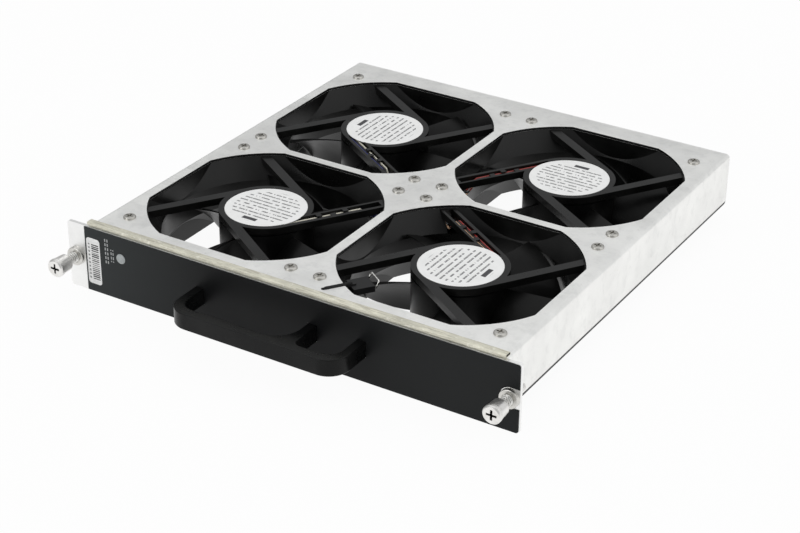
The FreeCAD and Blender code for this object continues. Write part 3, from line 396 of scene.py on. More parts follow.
@dataclass(frozen=True)
class MouldedPlastic(Finish):
    """Black moulded plastic: a fine spark-eroded grain, cloudy gloss and a little grey dust."""

    shine: float = 0.25
    grain: float = 2600.0
    grain_relief: Pair = (0.00002, 0.5)
    dust: float = 0.12
    dust_tone: Colour = (0.05, 0.05, 0.048)
    clouds: Cloud = Cloud(55.0, 4.0, 0.6, 0.42, 0.75)
    swing: Pair = (0.05, 0.07)

    def build(self) -> bpy.types.Material:
        """Make the material.

        Returns:
            The material.
        """
        g = Graph(self.name)
        grain, clouds = g.noise(Cloud(self.grain, 2.0, 0.5)), g.noise(self.clouds)
        tone = g.mix(g.times(g.share(self.clouds, clouds), self.dust), self.colour, self.dust_tone)
        return g.done(Base_Color=tone, Roughness=self.gloss(g, clouds, self.swing),
                      Specular_IOR_Level=self.shine, Normal=g.bump(grain, *self.grain_relief))


@dataclass(frozen=True)
class PrintedFilm(Finish):
    """Dark film on the face plate: greyer towards its ends by a painted sheen, with columns of pale dashes in
    place of words.
    """

    # lighter colour of the painted sheen towards the film's ends
    sheen_tone: Colour = (0.034, 0.038, 0.039)
    sheen_left: Pair = (-0.045, -0.127)
    sheen_right: Pair = (0.03, 0.10)
    right_share: float = 0.22
    ink: Colour = (0.50, 0.51, 0.51)
    ink_share: float = 0.85
    columns: tuple[tuple[Point, float, float], ...] = ()
    dash_pitch: float = 0.0026
    dash: Pair = (0.30, 0.04)
    gap: Pair = (0.14, 0.2)
    grain: Cloud = Cloud(5200.0, 2.0, 0.5)
    grain_relief: Pair = (0.000012, 0.5)
    clouds: Cloud = Cloud(40.0, 4.0, 0.6)
    swing: Pair = (0.05, 0.06)
    shine: float = 0.14

    def column(self, g: Graph, middle: Point, width: float, length: float) -> Socket:
        """One upright column of short bars with a gap down its middle.

        Args:
            g: The material under construction.
            middle: The column's middle.
            width: Its width along X.
            length: Its length along Z.

        Returns:
            The share of ink.
        """
        x, _, z = g.axes(g.place(middle=middle))
        step = g.sum("FRACT", g.sum("DIVIDE", z, self.dash_pitch))
        gap = g.span(g.off(x), *(width * share for share in self.gap))
        return g.times(g.within(step, 0.5, *self.dash), gap, g.sum("LESS_THAN", g.off(x), width / 2),
                       g.sum("LESS_THAN", g.off(z), length / 2), self.ink_share)

    def build(self) -> bpy.types.Material:
        """Make the material.

        Returns:
            The material.
        """
        g = Graph(self.name)
        x = g.axes(g.place())[0]
        # painted sheen: the colour turns greyer towards the left and the right end
        right = g.span(x, *self.sheen_right, 0.0, self.right_share)
        tone = g.mix(g.sum("MAXIMUM", g.span(x, *self.sheen_left), right), self.colour, self.sheen_tone)
        for middle, width, length in self.columns:
            tone = g.mix(self.column(g, middle, width, length), tone, self.ink)
        return g.done(Base_Color=tone, Roughness=self.gloss(g, g.noise(self.clouds), self.swing),
                      Specular_IOR_Level=self.shine, Normal=g.bump(g.noise(self.grain), *self.grain_relief))


@dataclass(frozen=True)
class PlatedMetal(Finish):
    """Turned and plated metal: close tool rings along Y, faint tarnish, and painted shade in a recess along
    Y.
    """

    tarnish: Colour = (0.42, 0.40, 0.36)
    clouds: Cloud = Cloud(260.0, 3.0, 0.6, 0.45, 0.8, 0.35)
    swing: Pair = (0.06, 0.1)
    swing_ends: Pair = (0.3, 0.75)
    rings: Cloud = Cloud(1.0, 2.0, 0.5, stretch=(60.0, 1500.0, 60.0))
    ring_relief: Pair = (0.00002, 0.3)
    recess: Point | None = None
    recess_reach: float = 0.0038
    recess_depths: Pair = (0.0003, 0.0034)
    # near-black colour of the painted shade in the recess
    recess_shade: Colour = (0.05, 0.05, 0.048)

    def build(self) -> bpy.types.Material:
        """Make the material.

        Returns:
            The material.
        """
        g = Graph(self.name)
        clouds = g.noise(self.clouds)
        tone = g.mix(g.share(self.clouds, clouds), self.colour, self.tarnish)
        # painted shade: the recess sunk along Y from a face is darkened
        if self.recess is not None:
            first, last = self.recess_depths
            depth = g.axes(g.place(middle=self.recess))[1]
            reach = g.reach(g.place((1.0, 0.0, 1.0), self.recess))
            inside = g.times(g.sum("LESS_THAN", reach, self.recess_reach), g.sum("LESS_THAN", depth, last),
                             g.span(depth, first, 2.0 * first))
            tone = g.mix(inside, tone, self.recess_shade)
        return g.done(Base_Color=tone, Metallic=1.0,
                      Roughness=self.gloss(g, clouds, self.swing, self.swing_ends),
                      Normal=g.bump(g.noise(self.rings), *self.ring_relief))


@dataclass(frozen=True)
class PrintedDisc(Finish):
    """A round white film label with rows of small grey dashes and one dark bar, in place of any wording.

    The sizes of its print are in millimetres, and a row's half height is a share of the row pitch.
    """

    middle: Pair = (0.0, 0.0)
    turn: float = 0.0
    ink: Colour = (0.045, 0.045, 0.05)
    ink_share: float = 0.86
    row_pitch: float = 3.4
    row_half: float = 0.15
    row_blur: float = 0.02
    rows_to: float = 18.2
    words: Cloud = Cloud(1.0, 2.0, 0.6, 0.43, 0.45)
    word_steps: Pair = (0.42, 3.7)
    letters: Cloud = Cloud(1.0, 1.0, 0.5, 0.36, 0.42)
    letter_steps: Pair = (2.6, 1.5)
    bar_at: float = -15.6
    bar_half: Pair = (4.4, 1.3)
    bar_clear: float = 2.6
    blur: float = 0.2
    stain: Cloud = Cloud(140.0, 3.0, 0.6, 0.35, 0.7)
    stain_shade: float = 0.94
    stain_relief: Pair = (0.00003, 0.2)

    def build(self) -> bpy.types.Material:
        """Make the material.

        Returns:
            The material.
        """
        g = Graph(self.name)
        x, y, _ = g.axes(g.place(IN_MM, (*self.middle, 0.0), self.turn))
        row = g.sum("DIVIDE", y, self.row_pitch)
        word_x, word_y = self.word_steps
        words = g.noise(self.words, g.pair(g.times(x, word_x), g.times(g.sum("FLOOR", row), word_y)))
        letter_x, letter_y = self.letter_steps
        letters = g.noise(self.letters, g.pair(g.times(x, letter_x), g.times(y, letter_y)))
        rows = g.times(g.within(g.sum("FRACT", row), 0.5, self.row_half, self.row_blur),
                       g.within(g.reach(g.pair(x, y)), 0.0, self.rows_to, 2.0 * self.blur),
                       g.share(self.words, words), g.share(self.letters, letters),
                       g.span(g.off(y, self.bar_at), self.bar_clear, self.bar_clear + self.blur),
                       self.ink_share)
        bar = g.times(g.within(x, 0.0, self.bar_half[0], self.blur),
                      g.within(y, self.bar_at, self.bar_half[1], self.blur))
        stain = g.noise(self.stain)
        paper = g.mix(g.share(self.stain, stain), self.colour, self.shade(self.stain_shade))
        return g.done(Base_Color=g.mix(g.sum("MAXIMUM", rows, bar), paper, self.ink),
                      Roughness=self.roughness, Normal=g.bump(stain, *self.stain_relief))


@dataclass(frozen=True)
class StripedTag(Finish):
    """A white film tag with a column of plain stripes and a column of small dashes.

    The sizes of its print are in millimetres, and a dash's half height is a share of the dash pitch.
    """

    middle: Point = (-0.1214, 0.0, 0.0189)
    ink: Colour = (0.02, 0.02, 0.022)
    print_at: float = -0.4
    print_half: float = 10.8
    stripes_per_mm: float = 0.83
    stripe_shares: Pair = (0.3, 0.72)
    stripes_at: float = 1.2
    stripes_half: float = 2.4
    dashes_per_mm: float = 0.44
    dash_half: float = 0.24
    dash_blur: float = 0.02
    dashes_at: float = -2.9
    dashes_half: float = 0.5
    dash_share: float = 0.7
    blur: float = 0.1
    stain: Cloud = Cloud(300.0, 3.0, 0.6, 0.35, 0.7)
    stain_shade: float = 0.93

    def build(self) -> bpy.types.Material:
        """Make the material.

        Returns:
            The material.
        """
        g = Graph(self.name)
        x, _, z = g.axes(g.place(IN_MM, self.middle))
        cell = g.times(z, self.stripes_per_mm)
        number = {"W": g.sum("FLOOR", cell)}
        draw = g.node("ShaderNodeTexWhiteNoise", number, noise_dimensions="1D").outputs["Value"]
        bars = g.sum("LESS_THAN", g.sum("FRACT", cell), g.span(draw, 0.0, 1.0, *self.stripe_shares))
        stripes = g.times(bars, g.within(x, self.stripes_at, self.stripes_half, self.blur / 2))
        step = g.sum("FRACT", g.times(z, self.dashes_per_mm))
        dashes = g.times(g.within(step, 0.5, self.dash_half, self.dash_blur),
                         g.within(x, self.dashes_at, self.dashes_half, self.blur), self.dash_share)
        share = g.times(g.sum("MAXIMUM", stripes, dashes),
                        g.within(z, self.print_at, self.print_half, self.blur))
        paper = g.mix(g.share(self.stain), self.colour, self.shade(self.stain_shade))
        return g.done(Base_Color=g.mix(share, paper, self.ink), Roughness=self.roughness)


@dataclass(frozen=True)
class LeadJacket(Finish):
    """Three wire jackets side by side in a lead channel, and below it one over the other.

    They are told apart by their place across the channel or their height. Sizes are in millimetres.
    """

    second: Colour = (0.02, 0.02, 0.02)
    third: Colour = (0.6, 0.58, 0.5)
    middle: Pair = (0.0, 0.0)
    turn: float = 0.0
    strut_turn: float = 56.5
    lane: float = 21.6
    side_pitch: float = 1.25
    drop_pitch: float = 1.4
    drop_top: float = 32.2
    channel_floor: float = 34.0
    wear: Colour = (0.2, 0.19, 0.18)
    scuffs: Cloud = Cloud(900.0, 3.0, 0.6, 0.5, 0.8, 0.3)
    swing: Pair = (0.05, 0.1)

    def build(self) -> bpy.types.Material:
        """Make the material.

        Returns:
            The material.
        """
        g = Graph(self.name)
        _, y, z = g.axes(g.place(IN_MM, (*self.middle, 0.0), self.turn + self.strut_turn))
        across = g.sum("ADD", y, self.lane + 1.5 * self.side_pitch)
        by_side = g.sum("FLOOR", g.sum("DIVIDE", across, self.side_pitch))
        below = g.sum("DIVIDE", g.sum("SUBTRACT", self.drop_top, z), self.drop_pitch)
        by_height = g.sum("FLOORED_MODULO", g.sum("FLOOR", below), 3.0)
        high = g.sum("GREATER_THAN", z, self.channel_floor)
        number = g.sum("ADD", g.times(by_side, high), g.times(by_height, g.sum("SUBTRACT", 1.0, high)))
        tone = g.mix(g.span(number, 0.4, 0.6), self.colour, self.second)
        tone = g.mix(g.span(number, 1.4, 1.6), tone, self.third)
        scuffs = g.noise(self.scuffs)
        tone = g.mix(g.share(self.scuffs, scuffs), tone, self.wear)
        return g.done(Base_Color=tone, Roughness=self.gloss(g, scuffs, self.swing))


@dataclass(frozen=True)
class MetalCloth(Finish):
    """Conductive cloth round a hollow: fine plain weave, crumples with painted shade, worn bright threads,
    and painted shade inside the hollow.
    """

    clouds: Cloud = Cloud(60.0, 4.0, 0.65, stretch=(1.0, 2.0, 2.0))
    # how far the painted shade on the crumples darkens the colour
    cloud_shade: float = 0.66
    crumple_relief: Pair = (0.0006, 0.5)
    bright: Colour = (0.95, 0.93, 0.84)
    bright_share: float = 0.75
    wear: Cloud = Cloud(330.0, 3.0, 0.7, 0.58, 0.72, stretch=(0.7, 1.0, 1.0))
    wear_gloss: float = 0.18
    soil: Colour = (0.34, 0.31, 0.24)
    folds: Cloud = Cloud(1500.0, 3.0, 0.6, 0.5, 0.66, 0.6, (0.06, 1.0, 1.0))
    pitch: float = 0.00032
    waver: float = 1.2
    weave_relief: Pair = (0.00006, 0.5)
    metal: float = 0.45
    # near-black colour of the painted shade inside the hollow
    hollow_shade: Colour = (0.035, 0.033, 0.03)
    hollow_middle: Point = (0.0, 0.0, 0.0)
    hollow_half: Pair = (0.0, 0.0)

    def build(self) -> bpy.types.Material:
        """Make the material.

        Returns:
            The material.
        """
        g = Graph(self.name)
        # painted shade: within a box round the hollow, the cloth's inner skin is near black
        _, y, z = g.axes(g.place(middle=self.hollow_middle))
        sides = zip((y, z), self.hollow_half)
        inside = g.times(*(g.sum("LESS_THAN", g.off(part), half) for part, half in sides))
        weave = g.times(*(g.wave(self.pitch, self.waver, way, 1.0) for way in ("X", "Y")))
        clouds, wear = g.noise(self.clouds), g.share(self.wear)
        # painted shade: the colour darkens with the same clouds that raise the crumples
        tone = g.mix(g.share(self.clouds, clouds), self.shade(self.cloud_shade), self.colour)
        tone = g.mix(g.share(self.folds), tone, self.soil)
        tone = g.mix(g.times(wear, self.bright_share), tone, self.bright)
        tone = g.mix(inside, tone, self.hollow_shade)
        gloss = g.span(wear, 0.0, 1.0, self.roughness, self.roughness - self.wear_gloss)
        return g.done(Base_Color=tone, Metallic=self.metal, Roughness=gloss,
                      Normal=g.bump(weave, *self.weave_relief, g.bump(clouds, *self.crumple_relief)))


@dataclass(frozen=True)
class CloudyLens(Finish):
    """A cloudy plastic lens over an unlit lamp."""

    clouds: Cloud = Cloud(500.0, 3.0, 0.5, 0.35, 0.7)
    cloud_shade: float = 0.8
    cloud_relief: Pair = (0.00004, 0.3)
    coat: float = 0.4

    def build(self) -> bpy.types.Material:
        """Make the material.

        Returns:
            The material.
        """
        g = Graph(self.name)
        clouds = g.noise(self.clouds)
        tone = g.mix(g.share(self.clouds, clouds), self.colour, self.shade(self.cloud_shade))
        return g.done(Base_Color=tone, Roughness=self.roughness, Coat_Weight=self.coat,
                      Normal=g.bump(clouds, *self.cloud_relief))


@dataclass(frozen=True)
class CircuitBoard(Finish):
    """Green solder mask with paler tracks under it."""

    track: Colour = (0.06, 0.27, 0.12)
    track_edge: Pair = (0.10, 0.14)
    track_relief: Pair = (0.00004, 0.4)
    cells_per_metre: float = 300.0
    coat: float = 0.3

    def build(self) -> bpy.types.Material:
        """Make the material.

        Returns:
            The material.
        """
        g = Graph(self.name)
        cells = g.node("ShaderNodeTexVoronoi", {"Vector": g.place(), "Scale": self.cells_per_metre},
                       feature="DISTANCE_TO_EDGE", distance="CHEBYCHEV").outputs["Distance"]
        share = g.span(cells, *self.track_edge)
        return g.done(Base_Color=g.mix(share, self.track, self.colour), Roughness=self.roughness,
                      Coat_Weight=self.coat, Normal=g.bump(share, *self.track_relief))


@dataclass(frozen=True)
class WireTurns(Finish):
    """Enamelled copper laid in close turns, with painted shade in the grooves between them."""

    turn_pitch: float = 0.0006
    waver: float = 0.4
    painted_groove_shade: float = 0.55
    groove_relief: Pair = (0.0003, 0.7)
    metal: float = 0.9

    def build(self) -> bpy.types.Material:
        """Make the material.

        Returns:
            The material.
        """
        g = Graph(self.name)
        lines = g.wave(self.turn_pitch, self.waver, "DIAGONAL")
        # painted shade: the grooves, where the bump sinks, are darkened
        tone = g.mix(lines, self.shade(self.painted_groove_shade), self.colour)
        return g.done(Base_Color=tone, Metallic=self.metal, Roughness=self.roughness,
                      Normal=g.bump(lines, *self.groove_relief))


class Stage:
    """The white floor, the soft lamps and the camera."""

    eye: Point = (0.497056, -0.820522, 0.519225)
    right: Point = (0.85085, 0.52535, 0.00773)
    down: Point = (0.25805, -0.40504, -0.87713)
    ahead: Point = (-0.45767, 0.74830, -0.48020)
    focal_px: float = 1943.52
    image_w: int = 800
    sensor_mm: float = 36.0
    near: float = 0.01
    floor_half: float = 6.0
    floor_drop: float = 0.0006
    floor_tone: Colour = (0.86, 0.86, 0.86)
    floor_share: float = 0.95
    sky_tone: tuple[float, float, float, float] = (0.98, 0.99, 1.0, 1.0)
    sky_from: float = 0.1
    sky_to: float = 0.9
    sky_low: float = 0.38
    sky_high: float = 0.52
    lamps: tuple[tuple[str, Point, float, float], ...] = (
        ("lamp_above", (-0.35, 0.25, 1.6), 2.6, 11.5),
        ("lamp_right", (1.6, 0.1, 0.8), 2.0, 8.5),
        ("lamp_rear", (0.9, 1.4, 0.85), 1.4, 1.8),
        ("lamp_front", (-0.7, -1.6, 0.7), 1.0, 6.5),
    )

    def floor(self) -> None:
        """A white floor that a camera, a mirror and glass see as white, with the object's shadow kept."""
        half, z = self.floor_half, -self.floor_drop
        mesh = bpy.data.meshes.new("floor")
        corners = [(-half, -half, z), (half, -half, z), (half, half, z), (-half, half, z)]
        mesh.from_pydata(corners, [], [(0, 1, 2, 3)])
        item = bpy.data.objects.new("floor", mesh)
        bpy.context.scene.collection.objects.link(item)
        g = Graph("floor_white")
        g.done(Base_Color=self.floor_tone, Roughness=0.9, Specular_IOR_Level=0.1)
        path = g.node("ShaderNodeLightPath").outputs
        mirrored = g.sum("MAXIMUM", path["Is Glossy Ray"], path["Is Transmission Ray"])
        share = g.times(g.sum("MAXIMUM", path["Is Camera Ray"], mirrored), self.floor_share)
        glow = g.node("ShaderNodeEmission", {"Color": (1.0, 1.0, 1.0), "Strength": 1.0})
        both = g.node("ShaderNodeMixShader", {0: share, 1: g.shader.outputs[0], 2: glow.outputs[0]})
        g.feed(g.tree.nodes["Material Output"].inputs["Surface"], both.outputs[0])
        mesh.materials.append(g.material)

    def lamp(self, name: str, place: Point, size: float, power: float) -> None:
        """A square soft lamp that faces the tray.

        Args:
            name: The lamp's name.
            place: Where it hangs.
            size: Side of the square.
            power: Watts.
        """
        data = bpy.data.lights.new(name, "AREA")
        data.shape = "SQUARE"
        data.size = size
        data.energy = power
        item = bpy.data.objects.new(name, data)
        bpy.context.scene.collection.objects.link(item)
        item.location = place
        item.rotation_euler = (-item.location).to_track_quat("-Z", "Y").to_euler()

    def light(self) -> None:
        """A grey-white room, brighter overhead than at the sides, with soft lamps on four sides."""
        world = bpy.data.worlds.new("room")
        bpy.context.scene.world = world
        world.use_nodes = True
        tree = world.node_tree
        sky = tree.nodes["Background"]
        sky.inputs["Color"].default_value = self.sky_tone
        way = tree.nodes.new("ShaderNodeTexCoord")
        parts = tree.nodes.new("ShaderNodeSeparateXYZ")
        rise = tree.nodes.new("ShaderNodeMapRange")
        rise.inputs["From Min"].default_value = self.sky_from
        rise.inputs["From Max"].default_value = self.sky_to
        rise.inputs["To Min"].default_value = self.sky_low
        rise.inputs["To Max"].default_value = self.sky_high
        tree.links.new(way.outputs["Generated"], parts.inputs[0])
        tree.links.new(parts.outputs[2], rise.inputs["Value"])
        tree.links.new(rise.outputs["Result"], sky.inputs["Strength"])
        for lamp in self.lamps:
            self.lamp(*lamp)

    def camera(self) -> None:
        """The camera solved from the fans' screw pitch."""
        data = bpy.data.cameras.new("camera")
        data.sensor_width = self.sensor_mm
        data.lens = self.sensor_mm * self.focal_px / self.image_w
        data.clip_start = self.near
        item = bpy.data.objects.new("camera", data)
        bpy.context.scene.collection.objects.link(item)
        axes = np.array([self.right, -np.array(self.down), -np.array(self.ahead)]).T
        item.matrix_world = Matrix.LocRotScale(self.eye, Matrix(axes.tolist()).to_quaternion(), None)
        bpy.context.scene.camera = item

    def build(self) -> None:
        """Set the stage."""
        bpy.context.scene.view_settings.view_transform = "Standard"
        self.floor()
        self.light()
        self.camera()


SHEET = RolledSheet("tray_sheet", (0.96, 0.96, 0.94), 0.42, patch=0.12, sheared_to=0.0100,
                    cut_above=0.03805, cut_depths=(-0.118, 0.136))
PLATE = RolledSheet("face_plate", (0.97, 0.97, 0.96), 0.38)
FAN_BLACK = MouldedPlastic("fan_plastic", (0.0034, 0.0034, 0.0032), 0.30, 0.27)
GRIP_BLACK = MouldedPlastic("handle_plastic", (0.0028, 0.003, 0.0031), 0.27, 0.17, grain=1800.0)
FILM = PrintedFilm("overlay_film", (0.006, 0.0064, 0.0068), 0.42, columns=(
    ((-0.1123, 0.0, 0.0275), 0.0023, 0.0160), ((-0.1086, 0.0, 0.0257), 0.0020, 0.0075)))
NICKEL = PlatedMetal("bright_nickel", (0.86, 0.85, 0.82), 0.2)
KNOB_NICKEL = PlatedMetal("satin_nickel", (0.86, 0.85, 0.83), 0.34)
BUSH = PlatedMetal("ferrule_nickel", (0.66, 0.65, 0.62), 0.24)
ZINC = PlatedMetal("zinc_steel", (0.52, 0.51, 0.48), 0.3)
SPRING_WIRE = PlatedMetal("spring_wire", (0.90, 0.90, 0.88), 0.34)
MOTOR_STEEL = PlatedMetal("motor_steel", (0.42, 0.42, 0.43), 0.4)
FERRITE = MouldedPlastic("rotor_magnet", (0.055, 0.055, 0.058), 0.6)
SOCKET_BLACK = MouldedPlastic("socket_plastic", (0.008, 0.008, 0.0085), 0.45)
ROTOR_BLACK = MouldedPlastic("rotor_plastic", (0.0035, 0.0035, 0.0034), 0.36, 0.14)
CABLE_BLACK = MouldedPlastic("cable_jacket", (0.006, 0.006, 0.006), 0.45)
RED_WIRE = MouldedPlastic("red_wire", (0.42, 0.03, 0.02), 0.35, dust=0.1)
LENS = CloudyLens("lamp_lens", (0.42, 0.45, 0.45), 0.34)
BOARD = CircuitBoard("circuit_board", (0.02, 0.13, 0.055), 0.35)
COPPER = WireTurns("copper_turns", (0.72, 0.33, 0.16), 0.3)
TAG = StripedTag("asset_tag", (0.97, 0.97, 0.96), 0.4)
DISC = PrintedDisc("label_print", (0.95, 0.95, 0.94), 0.42)
CLOTH = MetalCloth("gasket_cloth", (0.88, 0.86, 0.72), 0.5)
COLD_LEADS = LeadJacket("lead_jackets", (0.030, 0.035, 0.21), 0.32, (0.012, 0.012, 0.016), (0.74, 0.71, 0.60))
WARM_LEADS = LeadJacket("lead_jackets", (0.30, 0.028, 0.022), 0.32, (0.014, 0.012, 0.012), (0.72, 0.47, 0.30))


@dataclass
class Dressing:
    """Finishes for the CAD nodes that keep their shape."""

    finishes: dict[str, Finish] = field(default_factory=dict)

    def add(self, finish: Finish, *nodes: str) -> None:
        """Give CAD nodes a finish."""
        self.finishes.update(dict.fromkeys(nodes, finish))

    def add_fan(self, fan: Fan) -> None:
        """Give the nodes of one fan their finishes, with label and leads turned as its frame is.

        Args:
            fan: The fan.
        """
        key = fan.key
        self.add(FAN_BLACK, "frame_" + key)
        self.add(ROTOR_BLACK, "impeller_" + key)
        self.add(MOTOR_STEEL, "shaft_" + key, "yoke_" + key)
        self.add(FERRITE, "magnet_" + key)
        leads = COLD_LEADS if fan in (Fan.FRONT_LEFT, Fan.BACK_LEFT) else WARM_LEADS
        for finish, node in ((DISC, "label_"), (leads, "leads_")):
            own = replace(finish, name=finish.name + "_" + key, middle=fan.middle, turn=fan.turn)
            self.add(own, node + key)

    def dress(self, nodes: dict[str, bpy.types.Object]) -> None:
        """Put each finish on its nodes.

        Args:
            nodes: The frame's objects by name.
        """
        made: dict[Finish, bpy.types.Material] = {}
        for name, finish in self.finishes.items():
            if finish not in made:
                made[finish] = finish.build()
            data = nodes[name].data
            data.materials.clear()
            data.materials.append(made[finish])
            log.info("%s has the finish %s", name, finish.name)


def box_of(node: str) -> np.ndarray:
    """The lowest and the highest corner of a CAD node's box."""
    return np.array(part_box(node))


def ramp(value: np.ndarray, width: float) -> np.ndarray:
    """A value over a width, held between 0 and 1."""
    return np.clip(value / width, 0.0, 1.0)


def noise_field(u: np.ndarray, v: np.ndarray, seed: int, waves: int, low: float, high: float) -> np.ndarray:
    """A smooth random field from 0 to 1: a sum of cosine waves of random direction, pitch and phase.

    Args:
        u: First parameter, one turn per unit of frequency.
        v: Second parameter, in turns round the section, of which a wave has none to three.
        seed: Start of the random numbers.
        waves: How many waves are added.
        low: Lowest frequency along u.
        high: Highest frequency along u.

    Returns:
        The field on the grid of u by v.
    """
    draw = np.random.default_rng(seed)
    along = draw.uniform(low, high, waves)
    around = draw.integers(0, 4, waves)
    phase = draw.uniform(0.0, 2.0 * np.pi, waves)
    turns = along[:, None, None] * u[None, :, None] + around[:, None, None] * v[None, None, :]
    total = np.cos(2.0 * np.pi * turns + phase[:, None, None]).sum(0)
    return (total - total.min()) / np.ptp(total)


def mesh_piece(name: str, places: np.ndarray, faces: list[list[int]], smooth: bool) -> bpy.types.Object:
    """An object at the origin from corners and faces.

    Args:
        name: The piece's name.
        places: Corners, count by three.
        faces: Numbers of each face's corners.
        smooth: Whether it is shaded as one smooth surface.

    Returns:
        The object.
    """
    mesh = bpy.data.meshes.new(name)
    mesh.from_pydata(places.tolist(), [], faces)
    mesh.polygons.foreach_set("use_smooth", np.full(len(mesh.polygons), smooth))
    mesh.update()
    item = bpy.data.objects.new(name, mesh)
    bpy.context.scene.collection.objects.link(item)
    return item


def grid_piece(name: str, points: np.ndarray, wrap_rows: bool) -> bpy.types.Object:
    """A smooth closed mesh over rows of rings: each cell is one face.

    Args:
        name: The piece's name.
        points: Rows by columns by three; the last column joins the first.
        wrap_rows: Whether the last row joins the first. Otherwise a fan of faces closes each end.

    Returns:
        The object, at the origin.
    """
    rows, columns = points.shape[:2]
    first = np.arange(rows * columns).reshape(rows, columns)
    after = np.roll(first, -1, 0)
    cells = np.stack([first, after, np.roll(after, -1, 1), np.roll(first, -1, 1)], -1)
    faces = cells[: rows if wrap_rows else rows - 1].reshape(-1, 4).tolist()
    places = points.reshape(-1, 3)
    if not wrap_rows:
        near, far = first[0], first[-1]
        start = np.stack([near, np.roll(near, -1), np.full(columns, len(places))], -1)
        end = np.stack([np.roll(far, -1), far, np.full(columns, len(places) + 1)], -1)
        places = np.concatenate([places, points[0].mean(0, keepdims=True), points[-1].mean(0, keepdims=True)])
        faces += start.tolist() + end.tolist()
    return mesh_piece(name, places, faces, True)


def tube(line: np.ndarray, out: np.ndarray, radius: float, ring: int) -> np.ndarray:
    """Circles round a line: each lies across the line's tangent and starts towards a given direction.

    Args:
        line: Points of the line, count by three.
        out: One direction beside the line, or one per point, never along it.
        radius: Radius of the circles.
        ring: Points in each circle.

    Returns:
        Rows of rings.
    """
    along = np.gradient(line, axis=0)
    along /= np.linalg.norm(along, axis=1, keepdims=True)
    side = np.cross(along, out)
    side /= np.linalg.norm(side, axis=1, keepdims=True)
    v = np.linspace(0.0, 2.0 * np.pi, ring, endpoint=False)[None, :, None]
    circle = np.cos(v) * np.cross(side, along)[:, None, :] - np.sin(v) * side[:, None, :]
    return line[:, None, :] + radius * circle


def arc(middle: np.ndarray | Pair, radius: float, first: float, last: float, count: int = 20) -> np.ndarray:
    """Points in X and Z on an arc from a first to a last angle, in degrees from +X towards +Z."""
    turn = np.radians(np.linspace(first, last, count))
    return np.asarray(middle) + radius * np.stack([np.cos(turn), np.sin(turn)], -1)


def plate_piece(name: str, outline: np.ndarray, holes: list[np.ndarray],
                front: float, back: float) -> bpy.types.Object:
    """A flat plate between two planes across Y: the outline less the holes, filled by a Delaunay mesh.

    A triangle is kept where a ray from its middle crosses the rims an odd number of times.

    Args:
        name: The piece's name.
        outline: Outer corners in X and Z, against the clock as seen from the front.
        holes: Corners of each hole, with the clock.
        front: Y of the front face.
        back: Y of the back face.

    Returns:
        The object, at the origin.
    """
    loops = [outline, *holes]
    flat = np.concatenate(loops)
    starts = np.cumsum([0] + [len(loop) for loop in loops[:-1]])
    here = np.concatenate([start + np.arange(len(loop)) for start, loop in zip(starts, loops)])
    there = np.concatenate([start + np.roll(np.arange(len(loop)), -1) for start, loop in zip(starts, loops)])
    rims = np.stack([here, there], -1)
    fill = delaunay_2d_cdt([Vector(corner) for corner in flat], rims.tolist(), [], 1, 1e-7, False)
    near = np.array(fill[2])
    middle, first, last = flat[near].mean(1), flat[here], flat[there]
    spans = (first[:, 1] > middle[:, 1:]) != (last[:, 1] > middle[:, 1:])
    rise = np.where(first[:, 1] == last[:, 1], 1.0, last[:, 1] - first[:, 1])
    at = first[:, 0] + (middle[:, 1:] - first[:, 1]) / rise * (last[:, 0] - first[:, 0])
    near = near[(spans & (at > middle[:, :1])).sum(1) % 2 == 1]
    count = len(flat)
    walls = np.stack([there, here, here + count, there + count], -1)
    places = np.concatenate([np.insert(flat, 1, front, axis=1), np.insert(flat, 1, back, axis=1)])
    return mesh_piece(name, places, near.tolist() + (near[:, ::-1] + count).tolist() + walls.tolist(), False)


def settle(item: bpy.types.Object, finish: Finish, body: str, node: str) -> None:
    """Dress a piece, let it ride on its body in the place of a CAD node, and report it.

    Args:
        item: The piece.
        finish: Its finish.
        body: The body that it moves with.
        node: The CAD node that it replaces.
    """
    item.data.materials.append(finish.build())
    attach(item, body)
    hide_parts(node)
    log.info("%s replaces %s with %d faces", item.name, node, len(item.data.polygons))


